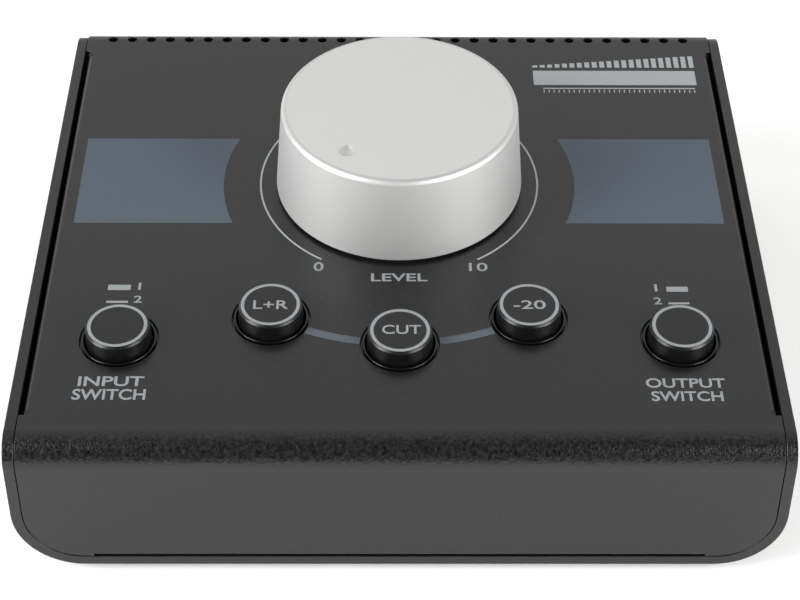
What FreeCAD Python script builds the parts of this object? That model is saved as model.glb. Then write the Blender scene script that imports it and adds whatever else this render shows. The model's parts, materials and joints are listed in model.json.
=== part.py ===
"""Desktop studio monitor controller: a passive box with one large volume knob and five push buttons.

The housing is two bent sheets.  The base shell is a thick U: the bottom and both side walls.  The top
cover is a thinner wrap: front face, sloping panel and back face, set between the side walls.  The knob
turns a rotary potentiometer, each button presses a latching switch on a board that hangs under the
panel, and a second board carries the row of sockets on the back face.

Frame: +X to the user's right, +Y to the back, +Z up, origin on the table under the middle of the
object's box.  Parts on the panel are drawn in the panel's own frame (x, v, n): v runs up the slope from
the line where panel and front face would meet, and n stands out of the panel.  All sizes are in mm.
"""

import FreeCAD
import Part

import math
import os

from FreeCAD import Placement, Rotation, Vector

# ---------------------------------------------------------------- housing
width = 195.4            # over the side walls
depth = 174.2            # front face to back face
front_height = 39.9      # underside to the corner line of front face and panel
slope = 5.0              # panel rise, degrees
wall = 2.8               # base shell thickness
corner_radius = 17.2     # outside bend between bottom and side wall
sheet = 1.2              # top cover thickness
seam = 0.2               # air between the cover and the base shell
front_bend = 7.5         # outside bend radius, front face to panel
back_bend = 7.5          # outside bend radius, panel to back face
wall_back_corner = 8.6   # back top corner of the side walls, cut a little rounder than that bend

lip_depth = 12.0         # cover lips that rest on the bottom
lip_inset = 19.7         # side of the housing to the end of a lip
lip_bend = 1.5           # outside bend radius of a lip

slot_gap = 1.1           # shadow gap between a side wall and the panel's side flange
slot_start = 12.4        # front end of the gap, up the slope
slot_end_inset = 14.3    # back end of the gap to the panel's back corner line
flange_bend = 1.6        # outside bend radius of the side flanges
flange_depth = 7.0       # how far the side flanges hang below the panel
relief_radius = 0.95     # drilled relief at the back end of each gap
notch_length = 1.3       # square relief at the front end of each gap
notch_width = 0.6        # how much wider than the gap that relief is

vent_count = 31
vent_pitch = 5.8
vent_radius = 1.45
vent_inset = 7.2         # vent centres to the panel's back corner line

# ---------------------------------------------------------------- feet and housing screws
foot_height = 2.8
foot_radius = 6.5
foot_taper = 0.9         # how much narrower a foot is at the table
foot_side_inset = 18.7   # foot centre to the side of the housing
foot_end_inset = 16.0    # foot centre to the front or back face
foot_dish_radius = 2.2
foot_dish_depth = 0.8

cover_screw_spread = 60.0    # the outer screws of each row of three, from the middle
cover_screw_inset = 6.8      # screw row to the front or back face
cover_screw_radius = 1.45
cover_screw_length = 6.0     # under the head
screw_clearance = 0.05       # screw in its threaded hole
screw_hole_play = 0.3        # screw in a hole it only passes through
screw_head_radius = 2.8
screw_head_height = 1.7
screw_head_bevel = 0.5
screw_drive_width = 0.9      # cross slot
screw_drive_length = 3.2
screw_drive_depth = 0.9

# ---------------------------------------------------------------- volume knob
knob_v = 101.3           # knob axis, up the slope
knob_gap = 0.85          # knob rim above the panel
knob_height = 26.0       # rim to top face
knob_base_radius = 34.25
knob_top_radius = 32.45
knob_edge = 1.1          # rounding of the top edge
knob_wall = 2.4
knob_roof = 3.0
dimple_ring = 24.0       # pointer dimple, distance from the axis
dial_gap = 36.0          # pointer at either end of its travel, from the front of the dial, degrees
dimple_radius = 2.1
dimple_depth = 0.65

hub_radius = 7.0
hub_grip = 12.0          # length of shaft inside the hub
hub_disc = 2.0           # thickness of the disc under the knob's roof
hub_rim_wall = 1.8
hub_rim_height = 8.0
hub_ribs = 6
hub_rib_thickness = 1.6
hub_rib_height = 5.0
press_gap = 0.03         # hub in knob and shaft in hub, a push fit drawn just clear

# ---------------------------------------------------------------- potentiometer
shaft_radius = 3.0
shaft_flat = 1.5         # how much the D cuts off the shaft
running_gap = 0.05       # shaft in its bushing
bushing_radius = 4.5
bushing_height = 6.5     # above the panel's outside
bushing_hole_play = 0.2
pot_size = 18.0
pot_plate = 1.6
pot_depth = 10.5         # the can, below the plate
pot_can_wall = 0.8
rotor_radius = 6.4
rotor_thickness = 1.6
rotor_gap = 0.25         # above and round the rotor
stop_reach = 1.2         # how far the rotor's stop lug stands out of it
stop_play = 0.5          # from each end of the travel to the stop, degrees
track_thickness = 1.2
wiper_ring = 5.2         # fingers to the shaft's axis
wiper_width = 1.6
terminal_radius = 0.45
terminal_pitch = 5.0
washer_thickness = 0.6
washer_radius = 7.0
nut_flats = 11.0
nut_height = 2.2

# ---------------------------------------------------------------- push buttons
button_ring = 64.4       # the three middle buttons stand on this circle round the knob axis
button_ring_angle = 31.4
select_side_inset = 25.3 # the two outer buttons, to the side of the housing
select_v = 38.5
hole_radius = 10.2
collar_gap = 0.55        # dark ring between the panel's hole and the collar
collar_wall = 0.55
collar_proud = 0.25
collar_flange = 2.2      # how far the collar's flange reaches past the hole
collar_flange_height = 1.2
collar_tube_wall = 1.1
cap_height = 4.76        # cap top above the panel
cap_skirt = 4.0          # cap rim below the panel's outside
cap_gap = 0.4            # cap in its collar
cap_draft = 0.4          # how much narrower the cap is at the top
cap_bevel = 0.5          # top edge
cap_wall = 1.2
cap_roof = 1.4
button_travel = 3.0
stem_width = 3.0
stem_gap = 0.03          # stem in the cap's socket
socket_wall = 1.1
socket_depth = 4.2
spring_seat_radius = 3.2
spring_seat_thickness = 0.8
spring_radius = 2.45     # mean coil radius
spring_wire_radius = 0.2
spring_turns = 4
spring_steps = 12        # straight steps in a turn
spring_wire_sides = 6
spring_room = 5.0        # seat to switch body
spring_end_gap = 0.06
switch_width = 8.5
switch_height = 7.0
switch_wall = 1.0
switch_stem_play = 0.1
stem_foot_width = 5.0
stem_foot_height = 0.8
switch_pin_radius = 0.4
switch_pin_pitch = 2.5
pin_length = 3.0         # pins below the face that stands on a board
pin_play = 0.15          # pin in a board hole

# ---------------------------------------------------------------- boards
board_thickness = 1.6
board_depth = 20.0       # panel's outside to the control board
control_board_side_gap = 12.7    # board edge to the side of the housing
control_board_start = 19.0       # front edge, up the slope
control_board_behind = 18.7      # back edge behind the knob axis
standoff_radius = 2.75
board_screw_radius = 1.25
board_screw_length = 7.0
board_screw_depth = 5.9  # hole in a standoff
standoff_side_inset = 5.0    # outer standoffs to the board's sides
standoff_front_inset = 6.0
standoff_back_inset = 8.0
standoff_middle = 17.0       # inner standoffs of the front row, from the middle

jack_board_side_gap = 6.7    # board edge to the side of the housing
jack_board_front = 37.0      # front edge to the back face
jack_board_back = 5.0        # back edge to the back face
jack_standoff_middle = 35.0  # inner standoffs, from the middle
jack_standoff_side = 16.0    # outer standoffs to the board's sides
jack_standoff_inset = 4.8    # to the board's front edge

ribbon_width = 25.0
ribbon_thickness = 0.9
ribbon_height = 6.0          # lowest run above the underside of the housing
ribbon_bend = 3.0
header_length = 30.0
header_width = 5.0
header_height = 6.0
control_header_inset = 10.0  # to the control board's back edge
jack_header_inset = 5.5      # to the jack board's front edge

# ---------------------------------------------------------------- sockets on the back
jack_height = 24.0           # socket axes above the underside of the housing
jack_first = 25.0            # innermost large sockets
jack_side_inset = 15.7       # outermost large sockets to the side of the housing
large_sockets = 4            # on each side of the small one
jack_width = 15.4
jack_body_height = 12.6
jack_length = 26.0
jack_nose_radius = 4.5
jack_nose_length = 3.6       # past the back face
jack_bore_radius = 3.25      # takes a 6.35 mm plug
jack_bore_depth = 29.0
jack_mouth = 0.4             # chamfer
jack_nut_flats = 11.0
jack_nut_height = 2.0
jack_washer_radius = 6.6
jack_washer_thickness = 0.5
jack_pin_spots = [(-5.0, -6.0), (5.0, -6.0), (0.0, -20.0)]   # across, and along from the back face
mini_width = 8.0
mini_length = 14.0
mini_top = 3.4               # body above the axis
mini_nose_radius = 3.0
mini_bore_radius = 1.8       # takes a 3.5 mm plug
mini_bore_depth = 15.0
mini_pin_spots = [(-2.5, -5.0), (2.5, -5.0), (0.0, -12.0)]
mini_nut_flats = 8.0
mini_washer_radius = 4.8
nose_play = 0.15             # a nose in its hole in the back face
jack_entry_play = 0.45       # how much wider a large bore is where it passes the back face
jack_entry_overlap = 0.4     # how far that reaches past the inside of the back face

# ---------------------------------------------------------------- worked out from the sizes above
half_width = width / 2
floor_z = foot_height                        # underside of the housing
overall_depth = depth + jack_nose_length
front_y = -overall_depth / 2
back_y = front_y + depth
rise = math.radians(slope)
panel_length = depth / math.cos(rise)
panel_origin = Vector(0, front_y, floor_z + front_height)
inner_half = half_width - wall
cover_half = inner_half - seam
lip_half = half_width - lip_inset
flange_face = inner_half - slot_gap
slot_end = panel_length - slot_end_inset
cap_radius = hole_radius - collar_gap - collar_wall - cap_gap
collar_bore = hole_radius - collar_gap - collar_wall
knob_travel = 360 - 2 * dial_gap
stop_half_angle = (2 * dial_gap - 2 * stop_play) / 4     # of the rotor's lug and of the can's stop
switch_top = -board_depth + switch_height
board_underside = -board_depth - board_thickness
jack_z = floor_z + jack_height
jack_board_top = jack_z - jack_body_height / 2
EPS = 0.5                                    # how far a cutter runs past what it cuts
TALL = 200.0                                 # longer than the object in any direction

sides = (-1, 1)
select_x = half_width - select_side_inset
button_spots = {
    "source": (-select_x, select_v),
    "mono": (-button_ring * math.sin(math.radians(button_ring_angle)),
             knob_v - button_ring * math.cos(math.radians(button_ring_angle))),
    "mute": (0.0, knob_v - button_ring),
    "dim": (button_ring * math.sin(math.radians(button_ring_angle)),
            knob_v - button_ring * math.cos(math.radians(button_ring_angle))),
    "monitor": (select_x, select_v),
}
jack_names = ["output_a_left", "output_a_right", "output_b_left", "output_b_right",
              "input_b_left", "input_b_right", "input_a_left", "input_a_right"]
jack_pitch = (half_width - jack_side_inset - jack_first) / (large_sockets - 1)
jack_spots = sorted(s * (jack_first + i * jack_pitch) for s in sides for i in range(large_sockets))
control_board_half = half_width - control_board_side_gap
control_board_end = knob_v + control_board_behind
control_header_v = control_board_end - control_header_inset
standoff_x = control_board_half - standoff_side_inset
panel_standoff_spots = [(standoff_x, control_board_end - standoff_back_inset),
                        (standoff_x, control_board_start + standoff_front_inset),
                        (standoff_middle, control_board_start + standoff_front_inset)]
jack_board_half = half_width - jack_board_side_gap
jack_board_front_y = back_y - jack_board_front


# ---------------------------------------------------------------- drawing helpers
def box(x0, x1, y0, y1, z0, z1):
    """A block between two corners."""
    return Part.makeBox(x1 - x0, y1 - y0, z1 - z0, Vector(x0, y0, z0))


def rod(radius, low, high, x=0.0, y=0.0):
    """A round bar along the third axis."""
    return Part.makeCylinder(radius, high - low, Vector(x, y, low))


def tube(outer, inner, low, high, x=0.0, y=0.0):
    """A ring or sleeve along the third axis."""
    return rod(outer, low, high, x, y).cut(rod(inner, low - EPS, high + EPS, x, y))


def hexagon(flats, low, high, x=0.0, y=0.0):
    """A hexagonal bar along the third axis, measured over its flats."""
    reach = flats / 2 / math.cos(math.pi / 6)
    corners = [Vector(x + reach * math.cos(math.pi / 3 * i), y + reach * math.sin(math.pi / 3 * i), low)
               for i in range(7)]
    return Part.Face(Part.makePolygon(corners)).extrude(Vector(0, 0, high - low))


def fused(shapes):
    """One solid from touching or overlapping ones."""
    shapes = list(shapes)
    return shapes[0].multiFuse(shapes[1:]).removeSplitter() if len(shapes) > 1 else shapes[0]


def rounded_path(points, radii):
    """Edges of an open line through the points, with an arc of the given radius at each inner one."""
    edges = []
    start = points[0]
    for before, here, after, radius in zip(points, points[1:], points[2:], radii):
        into = (here - before).normalize()
        out = (after - here).normalize()
        turn = into.getAngle(out)
        if radius <= 0 or turn < 1e-6:
            if not start.isEqual(here, 1e-7):
                edges.append(Part.makeLine(start, here))
            start = here
            continue
        reach = radius * math.tan(turn / 2)
        first = here - into * reach
        last = here + out * reach
        middle = here + (out - into).normalize() * (radius / math.cos(turn / 2) - radius)
        if not start.isEqual(first, 1e-7):
            edges.append(Part.makeLine(start, first))
        edges.append(Part.Arc(first, middle, last).toShape())
        start = last
    edges.append(Part.makeLine(start, points[-1]))
    return edges


def inner_line(points, thickness):
    """The line through the points, moved by a thickness towards the inside of its first bend."""
    normal = (points[1] - points[0]).cross(points[2] - points[1]).normalize()
    shifts = [normal.cross((b - a).normalize()) * thickness for a, b in zip(points, points[1:])]
    moved = [points[0] + shifts[0]]
    for before, after in zip(shifts, shifts[1:]):
        corner = points[len(moved)]
        share = thickness ** 2 / (thickness ** 2 + before.dot(after))
        moved.append(corner + (before + after) * share)
    moved.append(points[-1] + shifts[-1])
    return moved


def bent_sheet(points, radii, thickness, run):
    """Bent sheet: its outer face follows the points, with bends of the given outside radii."""
    inside = inner_line(points, thickness)
    outer = rounded_path(points, radii)
    inner = rounded_path(inside, [max(r - thickness, 0) for r in radii])
    ends = [Part.makeLine(points[0], inside[0]), Part.makeLine(points[-1], inside[-1])]
    profile = Part.Wire(Part.__sortEdges__(outer + inner + ends))
    return Part.Face(profile).extrude(run)


def moved(shape, placement):
    """A copy of the shape at a placement."""
    copy = shape.copy()
    copy.Placement = placement.multiply(copy.Placement)
    return copy


def on_panel(shape, x=0.0, v=0.0, turn=0.0):
    """From a frame on the panel at (x, v), turned about its normal, to the object's frame."""
    panel = Placement(panel_origin, Rotation(Vector(1, 0, 0), slope))
    spot = Placement(Vector(x, v, 0), Rotation(Vector(0, 0, 1), turn))
    return moved(shape, panel.multiply(spot))


def on_back(shape, x):
    """From a frame whose third axis leaves the back face at a socket's axis, to the object's frame."""
    return moved(shape, Placement(Vector(x, back_y, jack_z), Rotation(Vector(1, 0, 0), -90)))


def mirrored(spots):
    """Each (x, v) spot and its twin on the other side."""
    return [(s * x, v) for x, v in spots for s in sides]


def screw(radius, length):
    """A pan-head screw that points up from the face its head sits on."""
    bevel = screw_head_bevel
    head = fused([Part.makeCone(screw_head_radius - bevel, screw_head_radius, bevel,
                                Vector(0, 0, -screw_head_height)),
                  rod(screw_head_radius, bevel - screw_head_height, 0)])
    body = fused([head, rod(radius, 0, length)])
    across = screw_drive_length / 2
    thin = screw_drive_width / 2
    low = -screw_head_height - EPS
    high = -screw_head_height + screw_drive_depth
    slots = [box(-a, a, -b, b, low, high) for a, b in ((across, thin), (thin, across))]
    return body.cut(slots)


# ---------------------------------------------------------------- housing
def housing_corners():
    """Side view of the housing: underside front, panel front, panel back, underside back."""
    back_height = front_height + depth * math.tan(rise)
    return [Vector(0, front_y, floor_z), Vector(0, front_y, floor_z + front_height),
            Vector(0, back_y, floor_z + back_height), Vector(0, back_y, floor_z)]


def side_block():
    """The side walls' outline with its rounded corners, drawn out over more than the width."""
    corners = housing_corners()
    edges = rounded_path(corners, [front_bend, wall_back_corner])
    edges.append(Part.makeLine(corners[-1], corners[0]))
    face = Part.Face(Part.Wire(Part.__sortEdges__(edges)))
    face.translate(Vector(-width, 0, 0))
    return face.extrude(Vector(2 * width, 0, 0))


def cover_screw_spots():
    """Screws through the bottom into the cover's lips."""
    rows = (front_y + cover_screw_inset, back_y - cover_screw_inset)
    return [(x, y) for y in rows for x in (-cover_screw_spread, 0.0, cover_screw_spread)]


def foot_spots():
    """Centres of the four feet."""
    x = half_width - foot_side_inset
    return [(s * x, y) for s in sides for y in (front_y + foot_end_inset, back_y - foot_end_inset)]


def base_shell():
    """Bottom and side walls, one thick sheet bent to a U and cut to the housing's side view."""
    top = floor_z + front_height + depth * math.tan(rise) + EPS
    line = [Vector(-half_width, front_y, top), Vector(-half_width, front_y, floor_z),
            Vector(half_width, front_y, floor_z), Vector(half_width, front_y, top)]
    shell = bent_sheet(line, [corner_radius, corner_radius], wall, Vector(0, depth, 0))
    shell = shell.common(side_block())
    holes = [rod(cover_screw_radius + screw_hole_play, floor_z - EPS, floor_z + wall + EPS, x, y)
             for x, y in cover_screw_spots()]
    return shell.cut(holes)


def cover_wrap():
    """Front face, panel and back face, with lips on the bottom and corners that follow the base shell."""
    lower = floor_z + wall
    corners = housing_corners()
    corners[0].z = corners[3].z = lower
    run = Vector(2 * lip_half, 0, 0)
    lips = [Vector(0, front_y + lip_depth, lower)] + corners + [Vector(0, back_y - lip_depth, lower)]
    line = [p + Vector(-lip_half, 0, 0) for p in lips]
    middle = bent_sheet(line, [lip_bend, front_bend, back_bend, lip_bend], sheet, run)
    pieces = [middle]
    radius = corner_radius - wall - seam
    top = floor_z + front_height + depth
    outline = [Vector(-cover_half, 0, top), Vector(-cover_half, 0, lower + seam),
               Vector(cover_half, 0, lower + seam), Vector(cover_half, 0, top)]
    edges = rounded_path(outline, [radius, radius]) + [Part.makeLine(outline[-1], outline[0])]
    within = Part.Face(Part.Wire(Part.__sortEdges__(edges)))
    within.translate(Vector(0, front_y - EPS, 0))
    within = within.extrude(Vector(0, depth + 2 * EPS, 0))
    for start in (-cover_half, lip_half):
        line = [p + Vector(start, 0, 0) for p in corners]
        end = bent_sheet(line, [front_bend, back_bend], sheet, Vector(cover_half - lip_half, 0, 0))
        pieces.append(end.common(within))
    return fused(pieces)


def side_flanges(cover):
    """The cover with the panel's long edges bent down beside shadow gaps, with reliefs at both ends."""
    deep = -sheet - EPS
    for s in sides:
        near = flange_face - flange_bend
        far = cover_half + EPS
        start = slot_start + notch_length / 2
        end = slot_end - relief_radius
        strip = box(near, far, start, end, deep, EPS)
        strip = strip.fuse(box(flange_face, far, start, slot_end, deep, EPS))
        strip = strip.fuse(rod(relief_radius, deep, EPS, inner_half - slot_gap / 2 - seam / 2, slot_end))
        strip = strip.fuse(box(flange_face - notch_width, far, slot_start - notch_length / 2, start, deep, EPS))
        line = [Vector(near - EPS, start, 0), Vector(flange_face, start, 0),
                Vector(flange_face, start, -flange_depth)]
        run = Vector(0, end - start, 0)
        flange = bent_sheet(line, [flange_bend], sheet, run)
        if s < 0:
            strip = strip.mirror(Vector(0, 0, 0), Vector(1, 0, 0))
            flange = flange.mirror(Vector(0, 0, 0), Vector(1, 0, 0))
        cover = cover.cut(on_panel(strip)).fuse(on_panel(flange))
    return cover.removeSplitter()


def top_cover():
    """The whole cover with every hole."""
    cover = side_flanges(cover_wrap())
    deep = -sheet - EPS
    vent_v = panel_length - vent_inset
    first = -vent_pitch * (vent_count - 1) / 2
    holes = [on_panel(rod(vent_radius, -back_bend, EPS, first + i * vent_pitch, vent_v))
             for i in range(vent_count)]
    holes += [on_panel(rod(hole_radius, deep, EPS, x, v)) for x, v in button_spots.values()]
    holes.append(on_panel(rod(bushing_radius + bushing_hole_play, deep, EPS, 0, knob_v)))
    holes += [on_back(rod(jack_nose_radius + nose_play, deep, EPS), x) for x in jack_spots]
    holes.append(on_back(rod(mini_nose_radius + nose_play, deep, EPS), 0))
    low = floor_z + wall
    holes += [rod(cover_screw_radius + screw_clearance, low - EPS, low + sheet + EPS, x, y)
              for x, y in cover_screw_spots()]
    return cover.cut(holes)


def feet():
    """Four tapered rubber feet with a dished sole."""
    foot = Part.makeCone(foot_radius - foot_taper, foot_radius, foot_height)
    foot = foot.cut(rod(foot_dish_radius, -EPS, foot_dish_depth))
    return Part.makeCompound([moved(foot, Placement(Vector(x, y, 0), Rotation())) for x, y in foot_spots()])


def cover_screws():
    """Six screws that hold the bottom to the cover's lips."""
    one = screw(cover_screw_radius, cover_screw_length)
    return Part.makeCompound([moved(one, Placement(Vector(x, y, floor_z), Rotation()))
                              for x, y in cover_screw_spots()])


# ---------------------------------------------------------------- knob
def knob_cap():
    """Tapered hollow knob with a rounded top edge and a pointer dimple."""
    top = knob_gap + knob_height
    outline = [Vector(0, 0, top), Vector(knob_top_radius, 0, top), Vector(knob_base_radius, 0, knob_gap)]
    edges = rounded_path(outline, [knob_edge])
    lean = (knob_base_radius - knob_top_radius) / knob_height
    inner_top = knob_top_radius + lean * knob_roof - knob_wall
    inner = [Vector(knob_base_radius, 0, knob_gap), Vector(knob_base_radius - knob_wall, 0, knob_gap),
             Vector(inner_top, 0, top - knob_roof), Vector(0, 0, top - knob_roof), Vector(0, 0, top)]
    edges += [Part.makeLine(a, b) for a, b in zip(inner, inner[1:])]
    shell = Part.Face(Part.Wire(Part.__sortEdges__(edges))).revolve(Vector(0, 0, 0), Vector(0, 0, 1), 360)
    ball = (dimple_radius ** 2 + dimple_depth ** 2) / (2 * dimple_depth)
    dimple = Part.makeSphere(ball, Vector(0, -dimple_ring, top + ball - dimple_depth))
    return on_panel(shell.cut(dimple), 0, knob_v, -dial_gap)


def knob_hub():
    """Moulded insert under the knob's roof: disc, rim, ribs and a sleeve with a D-shaped bore."""
    roof = knob_gap + knob_height - knob_roof
    disc_low = roof - hub_disc
    lean = (knob_base_radius - knob_top_radius) / knob_height
    reach = knob_top_radius + lean * knob_roof - knob_wall - press_gap
    sleeve_low = disc_low - hub_grip + hub_disc
    parts = [rod(reach, disc_low, roof), tube(reach, reach - hub_rim_wall, roof - hub_rim_height, roof),
             rod(hub_radius, sleeve_low, roof)]
    for i in range(hub_ribs):
        rib = box(0, reach - hub_rim_wall / 2, -hub_rib_thickness / 2, hub_rib_thickness / 2,
                  disc_low - hub_rib_height, disc_low + hub_disc / 2)
        rib.rotate(Vector(0, 0, 0), Vector(0, 0, 1), 360 / hub_ribs * (i + 0.5))
        parts.append(rib)
    bore = d_bar(shaft_radius + press_gap, sleeve_low - EPS, roof - hub_disc / 2, shaft_flat)
    return on_panel(fused(parts).cut(bore), 0, knob_v, -dial_gap)


def d_bar(radius, low, high, flat):
    """A round bar with one flat."""
    side = radius - flat
    reach = radius + EPS
    return rod(radius, low, high).cut(box(side, reach, -reach, reach, low - EPS, high + EPS))


# ---------------------------------------------------------------- potentiometer
pot_top = -sheet                                        # mounting face against the panel's inside
plate_low = pot_top - pot_plate
can_low = plate_low - pot_depth
track_top = can_low + pot_can_wall + track_thickness
rotor_top = plate_low - rotor_gap
rotor_low = rotor_top - rotor_thickness
shaft_top = knob_gap + knob_height - knob_roof - hub_disc / 2 - press_gap
flat_start = knob_gap + knob_height - knob_roof - hub_grip


def pot_shaft():
    """Shaft from the rotor through the bushing into the knob's hub, D-shaped where the hub grips it."""
    shaft = rod(shaft_radius, rotor_low, flat_start).fuse(
        d_bar(shaft_radius, flat_start, shaft_top, shaft_flat))
    return on_panel(shaft.removeSplitter(), 0, knob_v, -dial_gap)


def pot_rotor():
    """Wiper carrier on the shaft: a ring with a stop lug and two contact fingers down to the track."""
    ring = tube(rotor_radius, shaft_radius + press_gap, rotor_low, rotor_top)
    lug = sector(rotor_radius - 0.5, rotor_radius + stop_reach, -90 - stop_half_angle, 2 * stop_half_angle,
                 rotor_low, rotor_top)
    half = wiper_width / 2
    fingers = [box(-half, half, side * wiper_ring - half, side * wiper_ring + half, track_top + rotor_gap,
                   rotor_low + EPS) for side in sides]
    past_stop = -(2 * stop_half_angle + stop_play)
    turned = moved(lug, Placement(Vector(0, 0, 0), Rotation(Vector(0, 0, 1), past_stop)))
    return on_panel(fused([ring, turned] + fingers), 0, knob_v)


def sector(inner, outer, start, sweep, low, high):
    """Part of a ring, from an angle over a sweep, counter-clockwise in degrees."""
    ring = Part.makeCylinder(outer, high - low, Vector(0, 0, low), Vector(0, 0, 1), sweep)
    ring = ring.cut(rod(inner, low - EPS, high + EPS))
    ring.rotate(Vector(0, 0, 0), Vector(0, 0, 1), start)
    return ring


def pot_bushing():
    """Mounting plate with the threaded sleeve that passes through the panel."""
    half = pot_size / 2
    plate = box(-half, half, -half, half, plate_low, pot_top)
    sleeve = rod(bushing_radius, plate_low, bushing_height)
    bore = rod(shaft_radius + running_gap, plate_low - EPS, bushing_height + EPS)
    return on_panel(plate.fuse(sleeve).cut(bore).removeSplitter(), 0, knob_v)


def pot_can():
    """Pressed can round the rotor and track, with the stop that limits the travel."""
    half = pot_size / 2
    room = half - pot_can_wall
    can = box(-half, half, -half, half, can_low, plate_low)
    can = can.cut(box(-room, room, -room, room, can_low + pot_can_wall, plate_low + EPS))
    stop = sector(rotor_radius + rotor_gap, room + pot_can_wall / 2, -90 - stop_half_angle,
                  2 * stop_half_angle, rotor_low - rotor_gap, plate_low)
    can = can.fuse(stop).removeSplitter()
    for x in terminal_row():
        can = can.cut(rod(terminal_radius + pin_play, can_low - EPS, can_low + pot_can_wall + EPS, x,
                          -pot_size / 4))
    return on_panel(can, 0, knob_v)


def terminal_row():
    """The three terminals of the potentiometer, across."""
    return (-terminal_pitch, 0.0, terminal_pitch)


def pot_track():
    """Resistance wafer on the can's floor with three terminals that run down through the board."""
    room = pot_size / 2 - pot_can_wall - press_gap
    low = can_low + pot_can_wall
    wafer = box(-room, room, -room, room, low, track_top)
    pins = [rod(terminal_radius, -board_depth - pin_length, low + EPS, x, -pot_size / 4)
            for x in terminal_row()]
    return on_panel(fused([wafer] + pins), 0, knob_v)


def pot_washer():
    """Flat washer on the panel, hidden by the knob."""
    return on_panel(tube(washer_radius, bushing_radius + screw_clearance, 0, washer_thickness), 0, knob_v)


def pot_nut():
    """Hexagonal nut that clamps the potentiometer to the panel."""
    nut = hexagon(nut_flats, washer_thickness, washer_thickness + nut_height)
    return on_panel(nut.cut(rod(bushing_radius + screw_clearance, 0, bushing_height)), 0, knob_v)


# ---------------------------------------------------------------- buttons and switches
seat_low = switch_top + spring_room                     # underside of the stem's spring seat
socket_top = cap_height - cap_roof
foot_top = switch_top - switch_wall


def button_cap(spot):
    """Hollow round cap: drafted skirt, flat top with a bevelled edge, square socket for the stem."""
    top_radius = cap_radius - cap_draft
    outline = [Vector(0, 0, cap_height), Vector(top_radius - cap_bevel, 0, cap_height),
               Vector(top_radius, 0, cap_height - cap_bevel), Vector(cap_radius, 0, -cap_skirt),
               Vector(cap_radius - cap_wall, 0, -cap_skirt), Vector(top_radius - cap_wall, 0, socket_top),
               Vector(0, 0, socket_top)]
    face = Part.Face(Part.makePolygon(outline + outline[:1]))
    cup = face.revolve(Vector(0, 0, 0), Vector(0, 0, 1), 360)
    half = stem_width / 2 + stem_gap
    outer = half + socket_wall
    socket = box(-outer, outer, -outer, outer, socket_top - socket_depth, socket_top)
    socket = socket.cut(box(-half, half, -half, half, socket_top - socket_depth - EPS, socket_top))
    return on_panel(cup.fuse(socket).removeSplitter(), *spot)


def button_collar(spot):
    """Guide ring: stands on the board, bears against the panel's inside and shows a thin lip in the hole."""
    lip = hole_radius - collar_gap
    flange_low = -sheet - collar_flange_height
    tube_radius = collar_bore + collar_tube_wall
    parts = [rod(lip, -sheet - EPS, collar_proud), rod(hole_radius + collar_flange, flange_low, -sheet),
             rod(tube_radius, -board_depth, flange_low)]
    collar = fused(parts).cut(rod(collar_bore, -board_depth - EPS, collar_proud + EPS))
    return on_panel(collar, *spot)


def switch_stem(spot):
    """Moving core of a switch: square stem, spring seat, and the foot that stops under the body's lid."""
    half = stem_width / 2
    stem = box(-half, half, -half, half, foot_top - stem_foot_height, socket_top)
    seat = rod(spring_seat_radius, seat_low, seat_low + spring_seat_thickness)
    foot_half = stem_foot_width / 2
    foot = box(-foot_half, foot_half, -foot_half, foot_half, foot_top - stem_foot_height, foot_top)
    return on_panel(fused([stem, seat, foot]), *spot)


def switch_spring(spot):
    """Return spring between the switch body and the stem's seat, wound in short straight steps."""
    low = switch_top + spring_wire_radius + spring_end_gap
    high = seat_low - spring_wire_radius - spring_end_gap
    steps = spring_turns * spring_steps
    angles = [2 * math.pi * i / spring_steps for i in range(steps + 1)]
    line = [Vector(spring_radius * math.cos(a), spring_radius * math.sin(a), low + (high - low) * i / steps)
            for i, a in enumerate(angles)]
    along = (line[1] - line[0]).normalize()
    across = along.cross(Vector(0, 0, 1)).normalize()
    over = across.cross(along)
    section = [line[0] + (across * math.cos(a) + over * math.sin(a)) * spring_wire_radius
               for a in (2 * math.pi * i / spring_wire_sides for i in range(spring_wire_sides + 1))]
    mitred = 1
    coil = Part.makePolygon(line).makePipeShell([Part.makePolygon(section)], True, False, mitred)
    return on_panel(coil, *spot)


def switch_pin_spots():
    """Two rows of three pins."""
    return [(i * switch_pin_pitch, s * switch_pin_pitch) for i in (-1, 0, 1) for s in sides]


def switch_body(spot):
    """Latching switch housing with a square guide hole in its lid and six pins through the board."""
    half = switch_width / 2
    room = half - switch_wall
    hole = stem_width / 2 + switch_stem_play
    body = box(-half, half, -half, half, -board_depth, switch_top)
    body = body.cut(box(-room, room, -room, room, -board_depth + switch_wall, foot_top))
    body = body.cut(box(-hole, hole, -hole, hole, foot_top - EPS, switch_top + EPS))
    pins = [rod(switch_pin_radius, -board_depth - pin_length, -board_depth + switch_wall / 2, x, y)
            for x, y in switch_pin_spots()]
    return on_panel(fused([body] + pins), *spot)


# ---------------------------------------------------------------- boards
def control_board():
    """Board parallel to the panel: switches and potentiometer above, standoffs at its edges."""
    board = box(-control_board_half, control_board_half, control_board_start, control_board_end,
                board_underside, -board_depth)
    deep = board_underside - EPS
    high = -board_depth + EPS
    holes = [rod(switch_pin_radius + pin_play, deep, high, x + px, v + py)
             for x, v in button_spots.values() for px, py in switch_pin_spots()]
    holes += [rod(terminal_radius + pin_play, deep, high, x, knob_v - pot_size / 4) for x in terminal_row()]
    holes += [rod(board_screw_radius + screw_hole_play, deep, high, x, v)
              for x, v in mirrored(panel_standoff_spots)]
    return on_panel(board.cut(holes))


def panel_standoffs():
    """Six threaded pillars pressed into the panel's inside."""
    pillars = []
    for x, v in mirrored(panel_standoff_spots):
        hole = rod(board_screw_radius + screw_clearance, -board_depth - EPS,
                   -board_depth + board_screw_depth, x, v)
        pillars.append(on_panel(rod(standoff_radius, -board_depth, -sheet, x, v).cut(hole)))
    return Part.makeCompound(pillars)


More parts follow.
